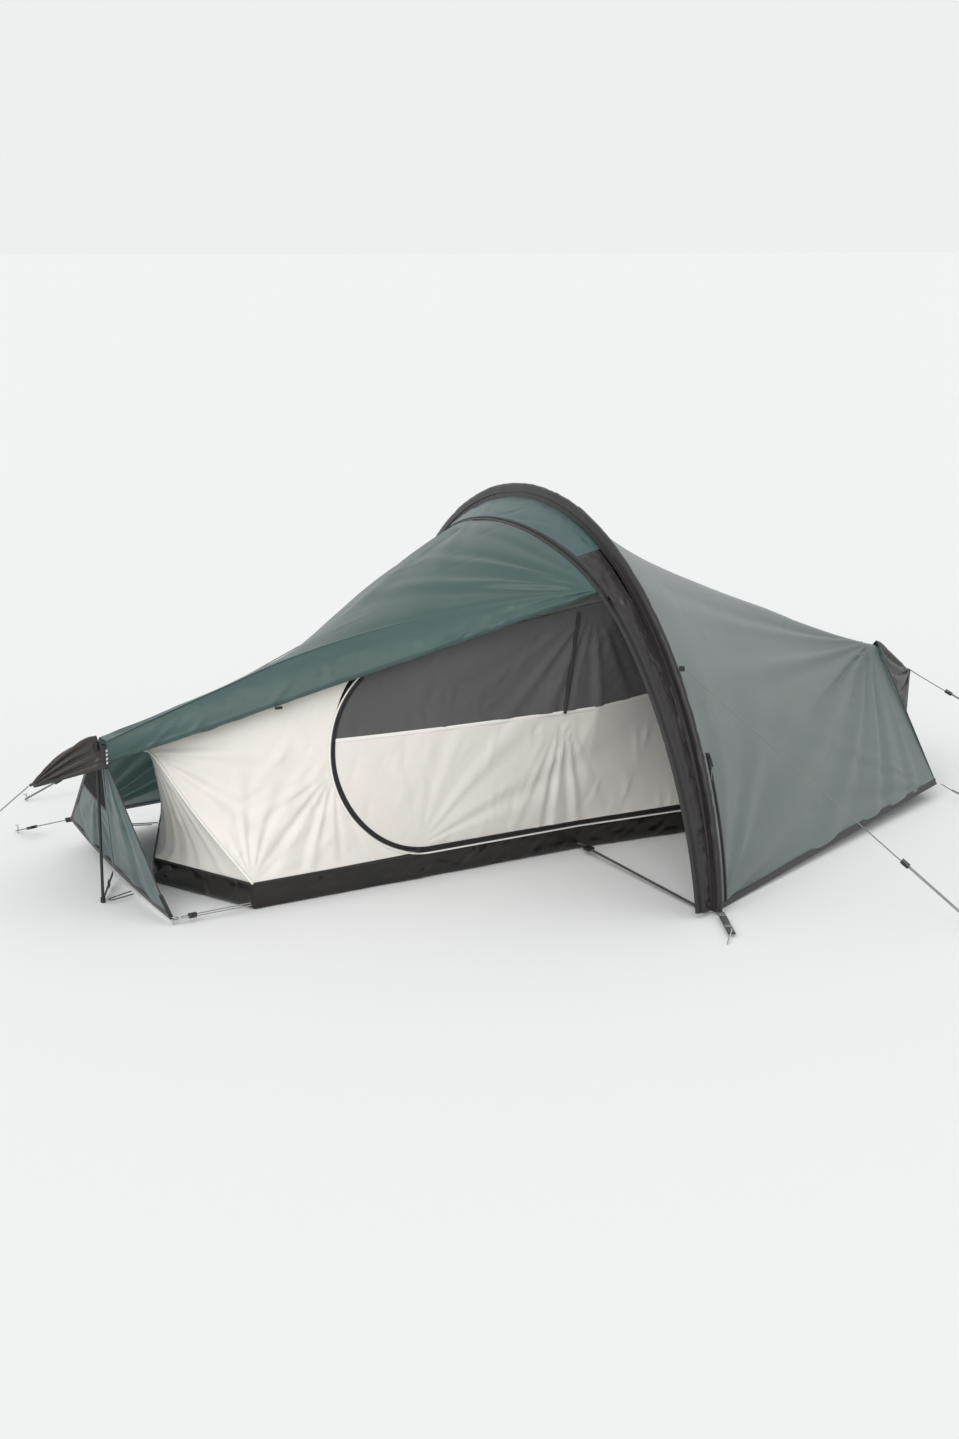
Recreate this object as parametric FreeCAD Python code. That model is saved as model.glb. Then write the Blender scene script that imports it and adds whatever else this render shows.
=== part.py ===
import FreeCAD, Part
import math
import os

Vector = FreeCAD.Vector
os.makedirs("parts", exist_ok=True)

# A one-person backpacking tent: one tall hoop pole, one short upright strut at each
# end, a flysheet with its porch door rolled up, and an inner tent hung underneath.
# Millimetres. X runs along the tent, the door faces -Y, Z is up, the ground is z = 0.
# "Station" means a distance along X from the hoop, which stands at HOOP_X.

# Driving dimensions
HOOP_X = 40.0
HALF_SPAN = 935.0
HEIGHT = 1000.0
SIDE_POWER = 0.98
RISE_POWER = 1.1455
CLOTH = 2.0
TAPE = 3.0
POLE_RADIUS = 4.35
POLE_INSET = 8.5
POLE_SECTIONS = 7
FERRULE_RADIUS = 5.5
FERRULE_LENGTH = 44.0
ELASTIC_RADIUS = 1.5
STRUT_RADIUS = 4.0
CORD = 3.0
LOOP_WIDTH = 11.0
RUNNER_LENGTH = 24.0
PEG_RADIUS = 2.0
PEG_HEIGHT = 24.0
ZIP_WIDTH = 20.0

DOOR_ROLL_RADIUS = 11.0
TUB_HEIGHT = 70.0
TUB_THICK = 3.0
INNER_CORNER = 1010.0
INNER_TOP_END = 1180.0
INNER_END_HEIGHT = 370.0
INNER_BACK_CORNER = 950.0
INNER_TIP = 1144.0
DOOR_ARC_STATION = -480.0
DOOR_ARC_HEIGHT = 340.0
DOOR_ARC_RADIUS = 260.0
DOOR_ARC_UPPER = 292.0
DOOR_HINGE_STATION = 400.0
DOOR_SEAM_GAP = 8.0
WEBBING = 20.0
STEPS = 9

# Left seam of the pole sleeve, from the near foot (0 degrees) over the crown (90)
# to the far foot (180): angle, distance left of the hoop, distance inside its arch.
ZIP_TABLE = [(0, 58, 7), (30, 84, 9), (56.6, 86, 44), (75, 98, 80), (95, 106, 92),
             (112, 80, 80), (130, 22, 44), (150, 18, 36), (180, 16, 34)]
K_ANGLE = 56.6
CROWN_ANGLE = 92.0
VENT_END_ANGLE = 126.0

# Ridge and door seam of the left half: fraction from the hoop to the end, then height.
RIDGE_LEFT = [(0, 908), (0.1, 864), (0.2, 814), (0.285, 766), (0.434, 661), (0.582, 566),
              (0.69, 519), (0.854, 469), (1, 432)]
RIDGE_RIGHT = [(0, 966), (0.11, 884), (0.215, 811), (0.345, 737), (0.522, 651),
               (0.737, 551), (0.897, 475), (1, 440)]
SEAM_RISE = [(0, 3), (0.15, 38), (0.3, 64), (0.45, 81), (0.62, 85), (0.75, 74), (1, 58)]
SEAM_TUCK = 75.0

# Corners of the flysheet, as station, y and z.
LEFT_DOOR_END = (-1298, -70, 372)
LEFT_PEAK = (-1300, -22, 432)
LEFT_NEAR_CORNER = (-1229, -300, 12)
LEFT_FAR_CORNER = (-1229, 448, 87)
LEFT_HEM_MIDDLE = (-1226, 120, 34)
RIGHT_PEAK = (1246, -38, 443)
RIGHT_NEAR_CORNER = (1250, -345, 45)
RIGHT_FAR_CORNER = (1240, 440, 80)
RIGHT_HEM_MIDDLE = (1240, 60, 45)
FOOT_HEM_Z = 8.0
LEFT_HOOD_TIP = (-1481, -20, 330)
RIGHT_HOOD_TIP = (1401, -20, 331)
STRUT_LEFT_FOOT = (-1318, -50, 0)
STRUT_LEFT_TOP = (-1316, -46, 430)
STRUT_RIGHT_FOOT = (1260, -30, 0)
STRUT_RIGHT_TOP = (1256, -30, 425)


def place(station, y, z):
    return Vector(station + HOOP_X, y, z)


def mix(a, b, fraction):
    return a + (b - a) * fraction


def steps(count):
    return [index / (count - 1) for index in range(count)]


def smooth(table, at):
    """Catmull-Rom curve through a table whose first column is the station."""
    last = len(table) - 1
    index = 0
    while index < last - 1 and at > table[index + 1][0]:
        index += 1
    a, b = table[index], table[index + 1]
    before, after = table[max(index - 1, 0)], table[min(index + 2, last)]
    span = b[0] - a[0]
    f = (at - a[0]) / span
    values = []
    for column in range(1, len(a)):
        slope_a = (b[column] - before[column]) / (b[0] - before[0]) * span
        slope_b = (after[column] - a[column]) / (after[0] - a[0]) * span
        values.append((2 * f**3 - 3 * f**2 + 1) * a[column] + (f**3 - 2 * f**2 + f) * slope_a
                      + (3 * f**2 - 2 * f**3) * b[column] + (f**3 - f**2) * slope_b)
    return values


def hoop_point(angle, inset, station):
    """A point of the hoop's arch: inset is how far inside the outer line it lies."""
    turn = math.radians(angle)
    cosine, sine = math.cos(turn), max(math.sin(turn), 0.0)
    side = math.copysign(abs(cosine) ** SIDE_POWER, cosine)
    return place(station, -(HALF_SPAN - inset) * side, (HEIGHT - inset) * sine ** RISE_POWER)


def zip_line(angle):
    left, inset = smooth(ZIP_TABLE, angle)
    return hoop_point(angle, inset, -left)


def solid_of(faces):
    shell = Part.makeShell(faces)
    shell.sewShape()
    solid = Part.makeSolid(shell)
    if solid.Volume < 0:
        solid.reverse()
    return solid


def cloth(rows, thick=CLOTH):
    """A closed sheet whose middle surface passes through a grid of points."""
    high, low = [], []
    for i, row in enumerate(rows):
        high.append([])
        low.append([])
        for j, point in enumerate(row):
            along = rows[min(i + 1, len(rows) - 1)][j] - rows[max(i - 1, 0)][j]
            across = row[min(j + 1, len(row) - 1)] - row[max(j - 1, 0)]
            normal = along.cross(across).normalize() * (thick / 2)
            high[-1].append(point + normal)
            low[-1].append(point - normal)
    top, bottom = Part.BSplineSurface(), Part.BSplineSurface()
    top.interpolate(high)
    bottom.interpolate(low)
    u0, u1, v0, v1 = top.bounds()
    faces = [top.toShape(), bottom.toShape()]
    for curve_a, curve_b in ((top.uIso(u0), bottom.uIso(u0)), (top.uIso(u1), bottom.uIso(u1)),
                             (top.vIso(v0), bottom.vIso(v0)), (top.vIso(v1), bottom.vIso(v1))):
        faces.append(Part.makeRuledSurface(curve_a.toShape(), curve_b.toShape()))
    return solid_of(faces)


def patch(surface, u_range, v_range, u_count=STEPS, v_count=STEPS, thick=CLOTH):
    """Cloth over part of a surface function of two fractions."""
    rows = [[surface(mix(*u_range, u), mix(*v_range, v)) for v in steps(v_count)]
            for u in steps(u_count)]
    return cloth(rows, thick)


def bar(start, end, wide, width, thick):
    """A straight flat strap from start to end, its width along the given direction."""
    along = (end - start).normalize()
    side = (wide - along * wide.dot(along)).normalize() * (width / 2)
    up = along.cross(side).normalize() * thick
    base = start - up * 0.5
    corners = [base - side, base + side, base + side + (end - start), base - side + (end - start)]
    return Part.Face(Part.makePolygon(corners + corners[:1])).extrude(up)


def rod(start, end, radius):
    return Part.makeCylinder(radius, (end - start).Length, start, end - start)


def hollow_rod(start, end, outer, inner):
    return rod(start, end, outer).cut(rod(start, end, inner))


def cord_tube(name, points, diameter=CORD):
    """A cord of straight runs joined by tangent arcs, each as large as its runs allow."""
    edges = []
    here = points[0]
    radii = []
    for index in range(1, len(points) - 1):
        corner = points[index]
        back, ahead = points[index - 1] - corner, points[index + 1] - corner
        reach = 0.45 * min(back.Length, ahead.Length)
        back.normalize()
        ahead.normalize()
        half_turn = (math.pi - back.getAngle(ahead)) / 2
        radius = reach / math.tan(half_turn)
        radii.append(round(radius, 1))
        middle = (back + ahead).normalize()
        centre = corner + middle * (radius / math.cos(half_turn))
        start, end = corner + back * reach, corner + ahead * reach
        edges.append(Part.LineSegment(here, start).toShape())
        edges.append(Part.Arc(start, centre - middle * radius, end).toShape())
        here = end
    edges.append(Part.LineSegment(here, points[-1]).toShape())
    path = Part.Wire(edges)
    ring = Part.Wire(Part.makeCircle(diameter / 2, points[0], points[1] - points[0]))
    tube = path.makePipeShell([ring], True, False)
    ideal = math.pi * diameter**2 / 4 * path.Length
    print(name, "length", round(path.Length), "radii", radii, "volume ratio",
          round(tube.Volume / ideal, 3))
    return tube


def save(name, *shapes):
    whole = shapes[0] if len(shapes) == 1 else Part.makeCompound(list(shapes))
    if not whole.isValid() or min(solid.Volume for solid in whole.Solids) <= 0:
        print("CHECK", name, whole.isValid(), [round(s.Volume) for s in whole.Solids])
    whole.exportStep("parts/" + name + ".step")


# Flysheet surfaces. Each takes u from the hoop (0) to the end (1).

def door_edge(u):
    """The straight lower edge that the rolled-up door leaves."""
    return mix(zip_line(K_ANGLE), place(*LEFT_DOOR_END), u)


def door_seam(u):
    edge = door_edge(u)
    return edge + Vector(0, SEAM_TUCK * 4 * u * (1 - u), smooth(SEAM_RISE, u)[0])


def ridge_left(u):
    start, end = zip_line(CROWN_ANGLE), place(*LEFT_PEAK)
    point = mix(start, end, u)
    return Vector(point.x, point.y, smooth(RIDGE_LEFT, u)[0])


def left_front(u, v):
    """Roof from the door seam (v 0) up to the ridge (v 1)."""
    chord = mix(door_seam(u), ridge_left(u), v)
    bulge = zip_line(mix(K_ANGLE, CROWN_ANGLE, v)) - mix(door_seam(0), ridge_left(0), v)
    return chord + bulge * (1 - u) ** 1.6


def hem_height(u, corner_z):
    return mix(FOOT_HEM_Z, corner_z, u)


def left_hem(u):
    corner = place(*LEFT_FAR_CORNER)
    point = mix(zip_line(180), corner, u)
    return Vector(point.x, point.y, hem_height(u, corner.z))


def left_back(u, v):
    """Roof from the ridge (v 0) down to the far hem (v 1)."""
    chord = mix(ridge_left(u), left_hem(u), v)
    bulge = zip_line(mix(CROWN_ANGLE, 180, v)) - mix(ridge_left(0), left_hem(0), v)
    return chord + bulge * (1 - u) ** 1.6


def right_edge(angle):
    return hoop_point(angle, 34, 17)


def ridge_right(u):
    point = mix(right_edge(90), place(*RIGHT_PEAK), u)
    return Vector(point.x, point.y, smooth(RIDGE_RIGHT, u)[0])


def right_hem(u, far):
    corner = place(*(RIGHT_FAR_CORNER if far else RIGHT_NEAR_CORNER))
    point = mix(right_edge(180 if far else 0), corner, u)
    return Vector(point.x, point.y, hem_height(u, corner.z))


def right_wall(u, v, far):
    """Wall from the hem (v 0) up to the ridge (v 1), near or far side."""
    chord = mix(right_hem(u, far), ridge_right(u), v)
    angle = mix(180 if far else 0, 90, v)
    bulge = right_edge(angle) - mix(right_hem(0, far), ridge_right(0), v)
    return chord + bulge * (1 - u) ** 1.35


def end_panel(corners, s, w):
    """End wall: s from the near edge (0) to the far edge (1), w from hem to top."""
    near_low, near_top, far_low, far_top, middle = [place(*corner) for corner in corners]
    base = mix(mix(near_low, near_top, w), mix(far_low, far_top, w), s)
    dip = middle - (near_low + far_low) * 0.5
    return base + dip * (4 * s * (1 - s) * (1 - w))


LEFT_END = [LEFT_NEAR_CORNER, (-1297, -68, 366), LEFT_FAR_CORNER, (-1297, 22, 408), LEFT_HEM_MIDDLE]
RIGHT_END = [RIGHT_NEAR_CORNER, (1243, -64, 424), RIGHT_FAR_CORNER, (1243, 16, 424),
             RIGHT_HEM_MIDDLE]
HEM_TAPE_NEAR_HOOP = 0.010
HEM_TAPE_AT_END = 0.030
EDGE = 0.012


def hem_rows(surface, v_start, direction):
    """The narrow binding along a hem, wide enough to look even along its length."""
    rows = []
    for u in steps(STEPS):
        width = mix(HEM_TAPE_NEAR_HOOP, HEM_TAPE_AT_END, u)
        here = mix(EDGE, 1 - EDGE, u)
        rows.append([surface(here, v_start), surface(here, v_start + direction * width * 0.85)])
    return rows


def wall_rows(surface, v_hem, v_ridge):
    rows = []
    for u in steps(STEPS):
        here = mix(EDGE, 1 - EDGE, u)
        hem = v_hem + math.copysign(mix(HEM_TAPE_NEAR_HOOP, HEM_TAPE_AT_END, u), v_ridge - v_hem)
        ridge = mix(v_hem, v_ridge, 0.996)
        rows.append([surface(here, mix(hem, ridge, v)) for v in steps(STEPS + 2)])
    return rows


def make_flysheet():
    facet = lambda u, v: mix(door_edge(u), door_seam(u), v)
    near_right = lambda u, v: right_wall(u, v, False)
    far_right = lambda u, v: right_wall(u, v, True)
    save("fly_door_fold", patch(facet, (0.03, 0.985), (0.03, 0.97), STEPS, 3))
    save("fly_left_front", patch(left_front, (0.014, 0.985), (0.02, 0.985)))
    save("fly_left_back", cloth(wall_rows(left_back, 1, 0)))
    save("fly_right_front", cloth(wall_rows(near_right, 0, 1)))
    save("fly_right_back", cloth(wall_rows(far_right, 0, 1)))
    left_end = lambda s, w: end_panel(LEFT_END, s, w)
    right_end = lambda s, w: end_panel(RIGHT_END, s, w)
    save("fly_left_end", patch(left_end, (0.02, 0.41), (0.04, 0.98), 5, 4),
         patch(left_end, (0.42, 0.98), (0.04, 0.49), 5, 4))
    save("fly_right_end", patch(right_end, (0.02, 0.29), (0.04, 0.98), 4, 4),
         patch(right_end, (0.30, 0.70), (0.04, 0.49), 4, 4),
         patch(right_end, (0.71, 0.98), (0.04, 0.98), 4, 4))
    save("end_vent_meshes", patch(left_end, (0.42, 0.98), (0.50, 0.98), 4, 4),
         patch(right_end, (0.30, 0.70), (0.50, 0.98), 4, 4))
    end_hems = [cloth([[end(s, 0), end(s, 0.035)] for s in steps(5)], TAPE)
                for end in (left_end, right_end)]
    save("hem_tapes", cloth(hem_rows(left_back, 1, -1), TAPE),
         cloth(hem_rows(near_right, 0, 1), TAPE), cloth(hem_rows(far_right, 0, 1), TAPE), *end_hems)


def make_door_roll():
    """The porch door, rolled up and tucked just inside its straight lower edge."""
    rows = []
    for u in steps(STEPS):
        centre = door_edge(mix(0.05, 0.95, u)) + Vector(0, 20, 2)
        radius = DOOR_ROLL_RADIUS * (0.55 + 0.45 * math.sin(math.pi * mix(0.08, 0.92, u)))
        rows.append((centre, radius))
    rings = [Part.Wire(Part.makeCircle(radius, centre, Vector(1, -0.35, 0.3))) for centre, radius in rows]
    save("rolled_door", Part.makeLoft(rings, True, False))


def hood(base, tip, lift):
    """A black hood: v runs round its base on the end wall, u out to its tip."""
    near, top, far = [place(*corner) for corner in base]
    end = place(*tip)
    spread = Vector(0, 13, 0)

    def surface(u, v):
        start = mix(mix(near, top, v), mix(top, far, v), v)
        start = start + (top - (near + far) * 0.5) * (v * (1 - v))
        finish = mix(end - spread, end + spread, v) - Vector(0, 0, 3 * abs(2 * v - 1))
        return mix(start, finish, u) + Vector(0, 0, lift * 4 * u * (1 - u) * math.sin(math.pi * v))
    return surface


def make_hoods():
    left = hood([(-1326, -84, 378), (-1326, -24, 447), (-1326, 88, 350)], LEFT_HOOD_TIP, 20)
    right = hood([(1262, -190, 238), (1270, -30, 449), (1262, 140, 240)], RIGHT_HOOD_TIP, 6)
    save("hood_left", patch(left, (0, 1), (0, 1), 5, 7))
    save("hood_right", patch(right, (0, 1), (0, 1), 5, 7))


SLEEVE_STRIPS = [[(-11, 39), (-9.5, 10)],
                 [(-8.5, 7.5), (-6, 2.5), (0, 0.75), (6, 2.5), (8.5, 7.5)],
                 [(9.5, 10), (11, 31)]]
SLEEVE_STATIONS = 25
SLEEVE_CLOTH = 1.5


def make_sleeve():
    """The fabric channel that holds the hoop pole, open only at its two feet."""
    sides = []
    for profile in SLEEVE_STRIPS:
        rows = [[hoop_point(mix(0.8, 179.2, a), inset, station) for station, inset in profile]
                for a in steps(SLEEVE_STATIONS)]
        sides.append(cloth(rows, SLEEVE_CLOTH))
    save("pole_sleeve", *sides)


def sleeve_side(angle):
    return hoop_point(angle, mix(20, 42, min(angle / K_ANGLE, 1)), -16)


def across_sleeve(angle, v):
    """From the sleeve's left edge (v 0) to the zip's right edge (v 1)."""
    start, end = sleeve_side(angle), zip_line(angle)
    end = end - (end - start).normalize() * (ZIP_WIDTH / 2 + 2)
    return mix(start, end, v)


def make_sleeve_panels():
    flap = lambda a, v: across_sleeve(a, v)
    save("storm_flap", patch(flap, (1.2, 57), (0, 1), 9, 3))
    save("crown_panel", patch(flap, (58.5, VENT_END_ANGLE - 6), (0, 1), 9, 3))


def zip_rows(first, last, count):
    rows = []
    for f in steps(count):
        angle = mix(first, last, f)
        side = (zip_line(angle) - sleeve_side(angle)).normalize() * (ZIP_WIDTH / 2)
        rows.append([zip_line(angle) - side, zip_line(angle) + side])
    return rows


SIDE_ZIP_STATION = 30.0
SIDE_ZIP_INSET = 25.0
SIDE_ZIP_FOOT = 2.5
SIDE_ZIP_TOP = 27.0


def make_fly_zips():
    save("door_zip", cloth(zip_rows(1.5, VENT_END_ANGLE - 6, 19), TAPE))
    # The short side zip lies on the right wall, just behind the near leg of the hoop.
    rows = [[hoop_point(mix(SIDE_ZIP_FOOT, SIDE_ZIP_TOP, a), SIDE_ZIP_INSET - 2, SIDE_ZIP_STATION + x)
             for x in (-5, 5)] for a in steps(7)]
    save("side_zip", cloth(rows, TAPE))


def slider(place_at, along, outward):
    """A zip slider with its pull tab hanging outside."""
    along = Vector(along).normalize()
    side = along.cross(outward).normalize()
    body = bar(place_at - along * 7, place_at + along * 7, side, 9, 4)
    tab_start = place_at - along * 3 + outward * 4.5
    tab = bar(tab_start, tab_start - along * 30 + outward * 3, side, 5, 2)
    bridge = bar(place_at + outward * 1.5, place_at + outward * 5, side, 4, 4)
    return body.fuse(bridge).fuse(tab)


def make_sliders():
    top = hoop_point(SIDE_ZIP_TOP - 0.6, SIDE_ZIP_INSET - 8.5, SIDE_ZIP_STATION)
    lower = hoop_point(SIDE_ZIP_TOP - 1.6, SIDE_ZIP_INSET - 8.5, SIDE_ZIP_STATION)
    save("side_zip_slider", slider(top, top - lower, outward_at(SIDE_ZIP_TOP)))
    here, below = zip_line(K_ANGLE - 2), zip_line(K_ANGLE - 4)
    out = outward_at(K_ANGLE)
    save("door_zip_slider", slider(here + out * 7, here - below, out))


def outward_at(angle):
    return (hoop_point(angle, 0, 0) - hoop_point(angle, 10, 0)).normalize()


# Inner tent

def near_foot_y(station):
    return -262 - 40 * abs(station) / INNER_CORNER


def back_foot_y(station):
    return 556 - 84 * abs(station) / INNER_BACK_CORNER


def near_top(station):
    f = min(abs(station) / INNER_TOP_END, 1.0)
    side_power, rise_power = (0.76, 0.66) if station < 0 else (1.2, 1.07)
    return place(station, -440 * (1 - f) ** side_power, INNER_END_HEIGHT + 375 * (1 - f) ** rise_power)


def crest(station):
    f = min(abs(station) / INNER_TOP_END, 1.0)
    return place(station, 0, INNER_END_HEIGHT + 470 * (1 - f) ** 0.9)


def near_wall(station, z):
    """The point of the near wall at a station and height."""
    s, w = 0.5, 0.5
    for _ in range(12):
        half = mix(INNER_CORNER, INNER_TOP_END, w)
        s = (station + half) / (2 * half)
        top = near_top(mix(-INNER_TOP_END, INNER_TOP_END, s))
        w = (z - TUB_HEIGHT) / (top.z - TUB_HEIGHT)
    foot = mix(-INNER_CORNER, INNER_CORNER, s)
    y = mix(near_foot_y(foot), top.y, w)
    return place(station, y, z)


def arc_station(z, radius):
    tall = radius if z < DOOR_ARC_HEIGHT else radius * DOOR_ARC_UPPER / DOOR_ARC_RADIUS
    rise = min(abs(z - DOOR_ARC_HEIGHT) / tall, 1)
    return DOOR_ARC_STATION - radius * math.sqrt(1 - rise**2)


WALL_FOOT_Z = TUB_HEIGHT + 18
ARC_TOP_Z = 566.0
MESH_LEFT_Z = 398.0
MESH_RIGHT_Z = 446.0
CREST_GAP = 14.0
DOOR_SWEEP = 1.8
TAPE_GAP = 2.0


def to_top(station, z, weight):
    """Raise a point towards the wall's top edge as the weight goes to 1."""
    limit = near_top(station).z - CREST_GAP
    return near_wall(station, mix(z, limit, weight))


def wall_left(f, g):
    """White panel left of the door: f upwards, g from the corner seam to the zip."""
    seam_z = mix(TUB_HEIGHT + 3, INNER_END_HEIGHT - 8, f)
    seam_x = -mix(INNER_CORNER, INNER_TOP_END, f) + 5
    arc_z = mix(WALL_FOOT_Z - 8, ARC_TOP_Z, f)
    arc_x = arc_station(arc_z, DOOR_ARC_RADIUS + DOOR_SEAM_GAP)
    return to_top(mix(seam_x, arc_x, g), mix(seam_z, arc_z, g), f**6)


def across_door(edge, g, left):
    """Station and share of the door's width, on one side of the tape under the hoop."""
    station = mix(edge, -TAPE_GAP, g) if left else mix(TAPE_GAP, DOOR_HINGE_STATION, g)
    return station, (station - edge) / (DOOR_HINGE_STATION - edge)


def door_cloth(f, g, left):
    f = (1 - math.cos(f * DOOR_SWEEP)) / (1 - math.cos(DOOR_SWEEP))
    arc_z = mix(WALL_FOOT_Z, MESH_LEFT_Z, f)
    x, share = across_door(arc_station(arc_z, DOOR_ARC_RADIUS - DOOR_SEAM_GAP), g, left)
    return near_wall(x, mix(arc_z, mix(WALL_FOOT_Z, MESH_RIGHT_Z, f), share))


def door_mesh(f, g, left):
    arc_z = mix(MESH_LEFT_Z + 3, ARC_TOP_Z - 10, f)
    x, share = across_door(arc_station(arc_z, DOOR_ARC_RADIUS - DOOR_SEAM_GAP * (1 + 2 * f)), g, left)
    right_z = mix(MESH_RIGHT_Z + 3, near_top(DOOR_HINGE_STATION).z - CREST_GAP, f)
    return to_top(x, mix(arc_z, right_z, share), f**6)


def wall_right(f, g):
    start = DOOR_HINGE_STATION + 6
    foot = mix(start, INNER_CORNER - 8, g)
    top = mix(start, INNER_TOP_END - 20, g)
    x = mix(foot, top, f)
    z = mix(TUB_HEIGHT + 3, near_top(top).z - CREST_GAP, f)
    return near_wall(x, z)


def door_zip_path():
    """Centre line of the inner door's zip: along the foot, then round the arc."""
    foot_z = DOOR_ARC_HEIGHT - DOOR_ARC_RADIUS
    path = [(mix(DOOR_HINGE_STATION - 6, DOOR_ARC_STATION + 60, f), foot_z) for f in steps(17)]
    for degrees in range(-88, -226, -12):
        turn = math.radians(degrees)
        tall = DOOR_ARC_RADIUS if math.sin(turn) < 0 else DOOR_ARC_UPPER
        path.append((DOOR_ARC_STATION + DOOR_ARC_RADIUS * math.cos(turn),
                     DOOR_ARC_HEIGHT + tall * math.sin(turn)))
    return path


INNER_ZIP_HALF = 5.0


def make_inner_zip():
    path = door_zip_path()
    rows = []
    for index, (x, z) in enumerate(path):
        ahead, behind = path[min(index + 1, len(path) - 1)], path[max(index - 1, 0)]
        dx, dz = ahead[0] - behind[0], ahead[1] - behind[1]
        size = math.hypot(dx, dz)
        offset = (-dz / size * INNER_ZIP_HALF, dx / size * INNER_ZIP_HALF)
        rows.append([near_wall(x - offset[0], z - offset[1]), near_wall(x + offset[0], z + offset[1])])
    save("inner_door_zip", cloth(rows, TAPE))


def arc_point(degrees):
    turn = math.radians(degrees)
    tall = DOOR_ARC_RADIUS if math.sin(turn) < 0 else DOOR_ARC_UPPER
    x = DOOR_ARC_STATION + DOOR_ARC_RADIUS * math.cos(turn)
    return near_wall(x, DOOR_ARC_HEIGHT + tall * math.sin(turn))


INNER_SLIDER_DEGREES = -100.0
INNER_SLIDER_LIFT = 10.0


def make_inner_slider():
    here, ahead = arc_point(INNER_SLIDER_DEGREES), arc_point(INNER_SLIDER_DEGREES - 4)
    lifted = here + Vector(0, -INNER_SLIDER_LIFT, 0)
    save("inner_door_slider", slider(lifted, here - ahead, Vector(0, -1, 0)))


def tub_outline(inset):
    near_end, near_middle = near_foot_y(INNER_CORNER), near_foot_y(0)
    back_end, back_middle = back_foot_y(INNER_BACK_CORNER), back_foot_y(0)
    corner, back, tip = INNER_CORNER - inset, INNER_BACK_CORNER - inset, INNER_TIP - inset * 1.2
    points = [(-corner, near_end + inset), (0, near_middle + inset), (corner, near_end + inset),
              (tip, 35), (back, back_end - inset), (0, back_middle - inset),
              (-back, back_end - inset), (-tip, 35)]
    return points


def prism(outline, low, high):
    corners = [place(x, y, low) for x, y in outline]
    return Part.Face(Part.makePolygon(corners + corners[:1])).extrude(Vector(0, 0, high - low))


def make_tub():
    whole = prism(tub_outline(0), 0, TUB_HEIGHT)
    save("inner_tub_floor", whole.cut(prism(tub_outline(TUB_THICK), TUB_THICK, TUB_HEIGHT + 1)))


def inner_end(side, back):
    """Half of an inner end wall, from the upright centre line to a corner seam."""
    top = Vector(crest(side * (INNER_TOP_END - 8)).x, 0, INNER_END_HEIGHT - 2)
    tip = place(side * (INNER_TIP - 3), 35, TUB_HEIGHT + 3)
    if back:
        corner = place(side * (INNER_BACK_CORNER - 2), back_foot_y(INNER_BACK_CORNER) - 4, TUB_HEIGHT + 3)
    else:
        corner = place(side * (INNER_CORNER - 2), near_foot_y(INNER_CORNER) + 4, TUB_HEIGHT + 3)
    middle = 3 if back else -3

    def surface(u, v):
        start = mix(tip, top, u) + Vector(0, middle, 0)
        finish = mix(corner, top, u) + Vector(side * 4, middle * 2, 0)
        return mix(start, finish, v)
    return surface


SIDES_OF_HOOP = ((0.005, 0.499), (0.501, 0.995))


def make_inner():
    save("inner_wall_left", patch(wall_left, (0, 1), (0, 1), 9, 7))
    save("inner_wall_right", patch(wall_right, (0, 1), (0, 1), 5, 9))
    for name, surface in (("cloth", door_cloth), ("mesh", door_mesh)):
        halves = [patch(lambda f, g: surface(f, g, left), (0, 1), (0, 1), 9, 5) for left in (True, False)]
        save("inner_door_" + name, *halves)
    reach = INNER_TOP_END - 30

    def roof(u, v):
        station = mix(-reach, reach, u)
        return mix(near_top(station) + Vector(0, 3, 3), crest(station), v)
    save("inner_roof", *[patch(roof, u_range, (0, 0.97), 9, 3) for u_range in SIDES_OF_HOOP])

    def back(u, v):
        top = crest(mix(-reach, reach, u)) + Vector(0, 4, 0)
        foot = mix(-INNER_BACK_CORNER, INNER_BACK_CORNER, u)
        return mix(top, place(foot, back_foot_y(foot) - 4, TUB_HEIGHT + 3), v)
    save("inner_back_wall", *[patch(back, u_range, (0, 1), 9, 5) for u_range in SIDES_OF_HOOP])
    for name, side in (("left", -1), ("right", 1)):
        halves = [patch(inner_end(side, far), (0, 0.93), (0, 0.975), 4, 3) for far in (False, True)]
        save("inner_end_" + name, *halves)


# Poles

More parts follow.
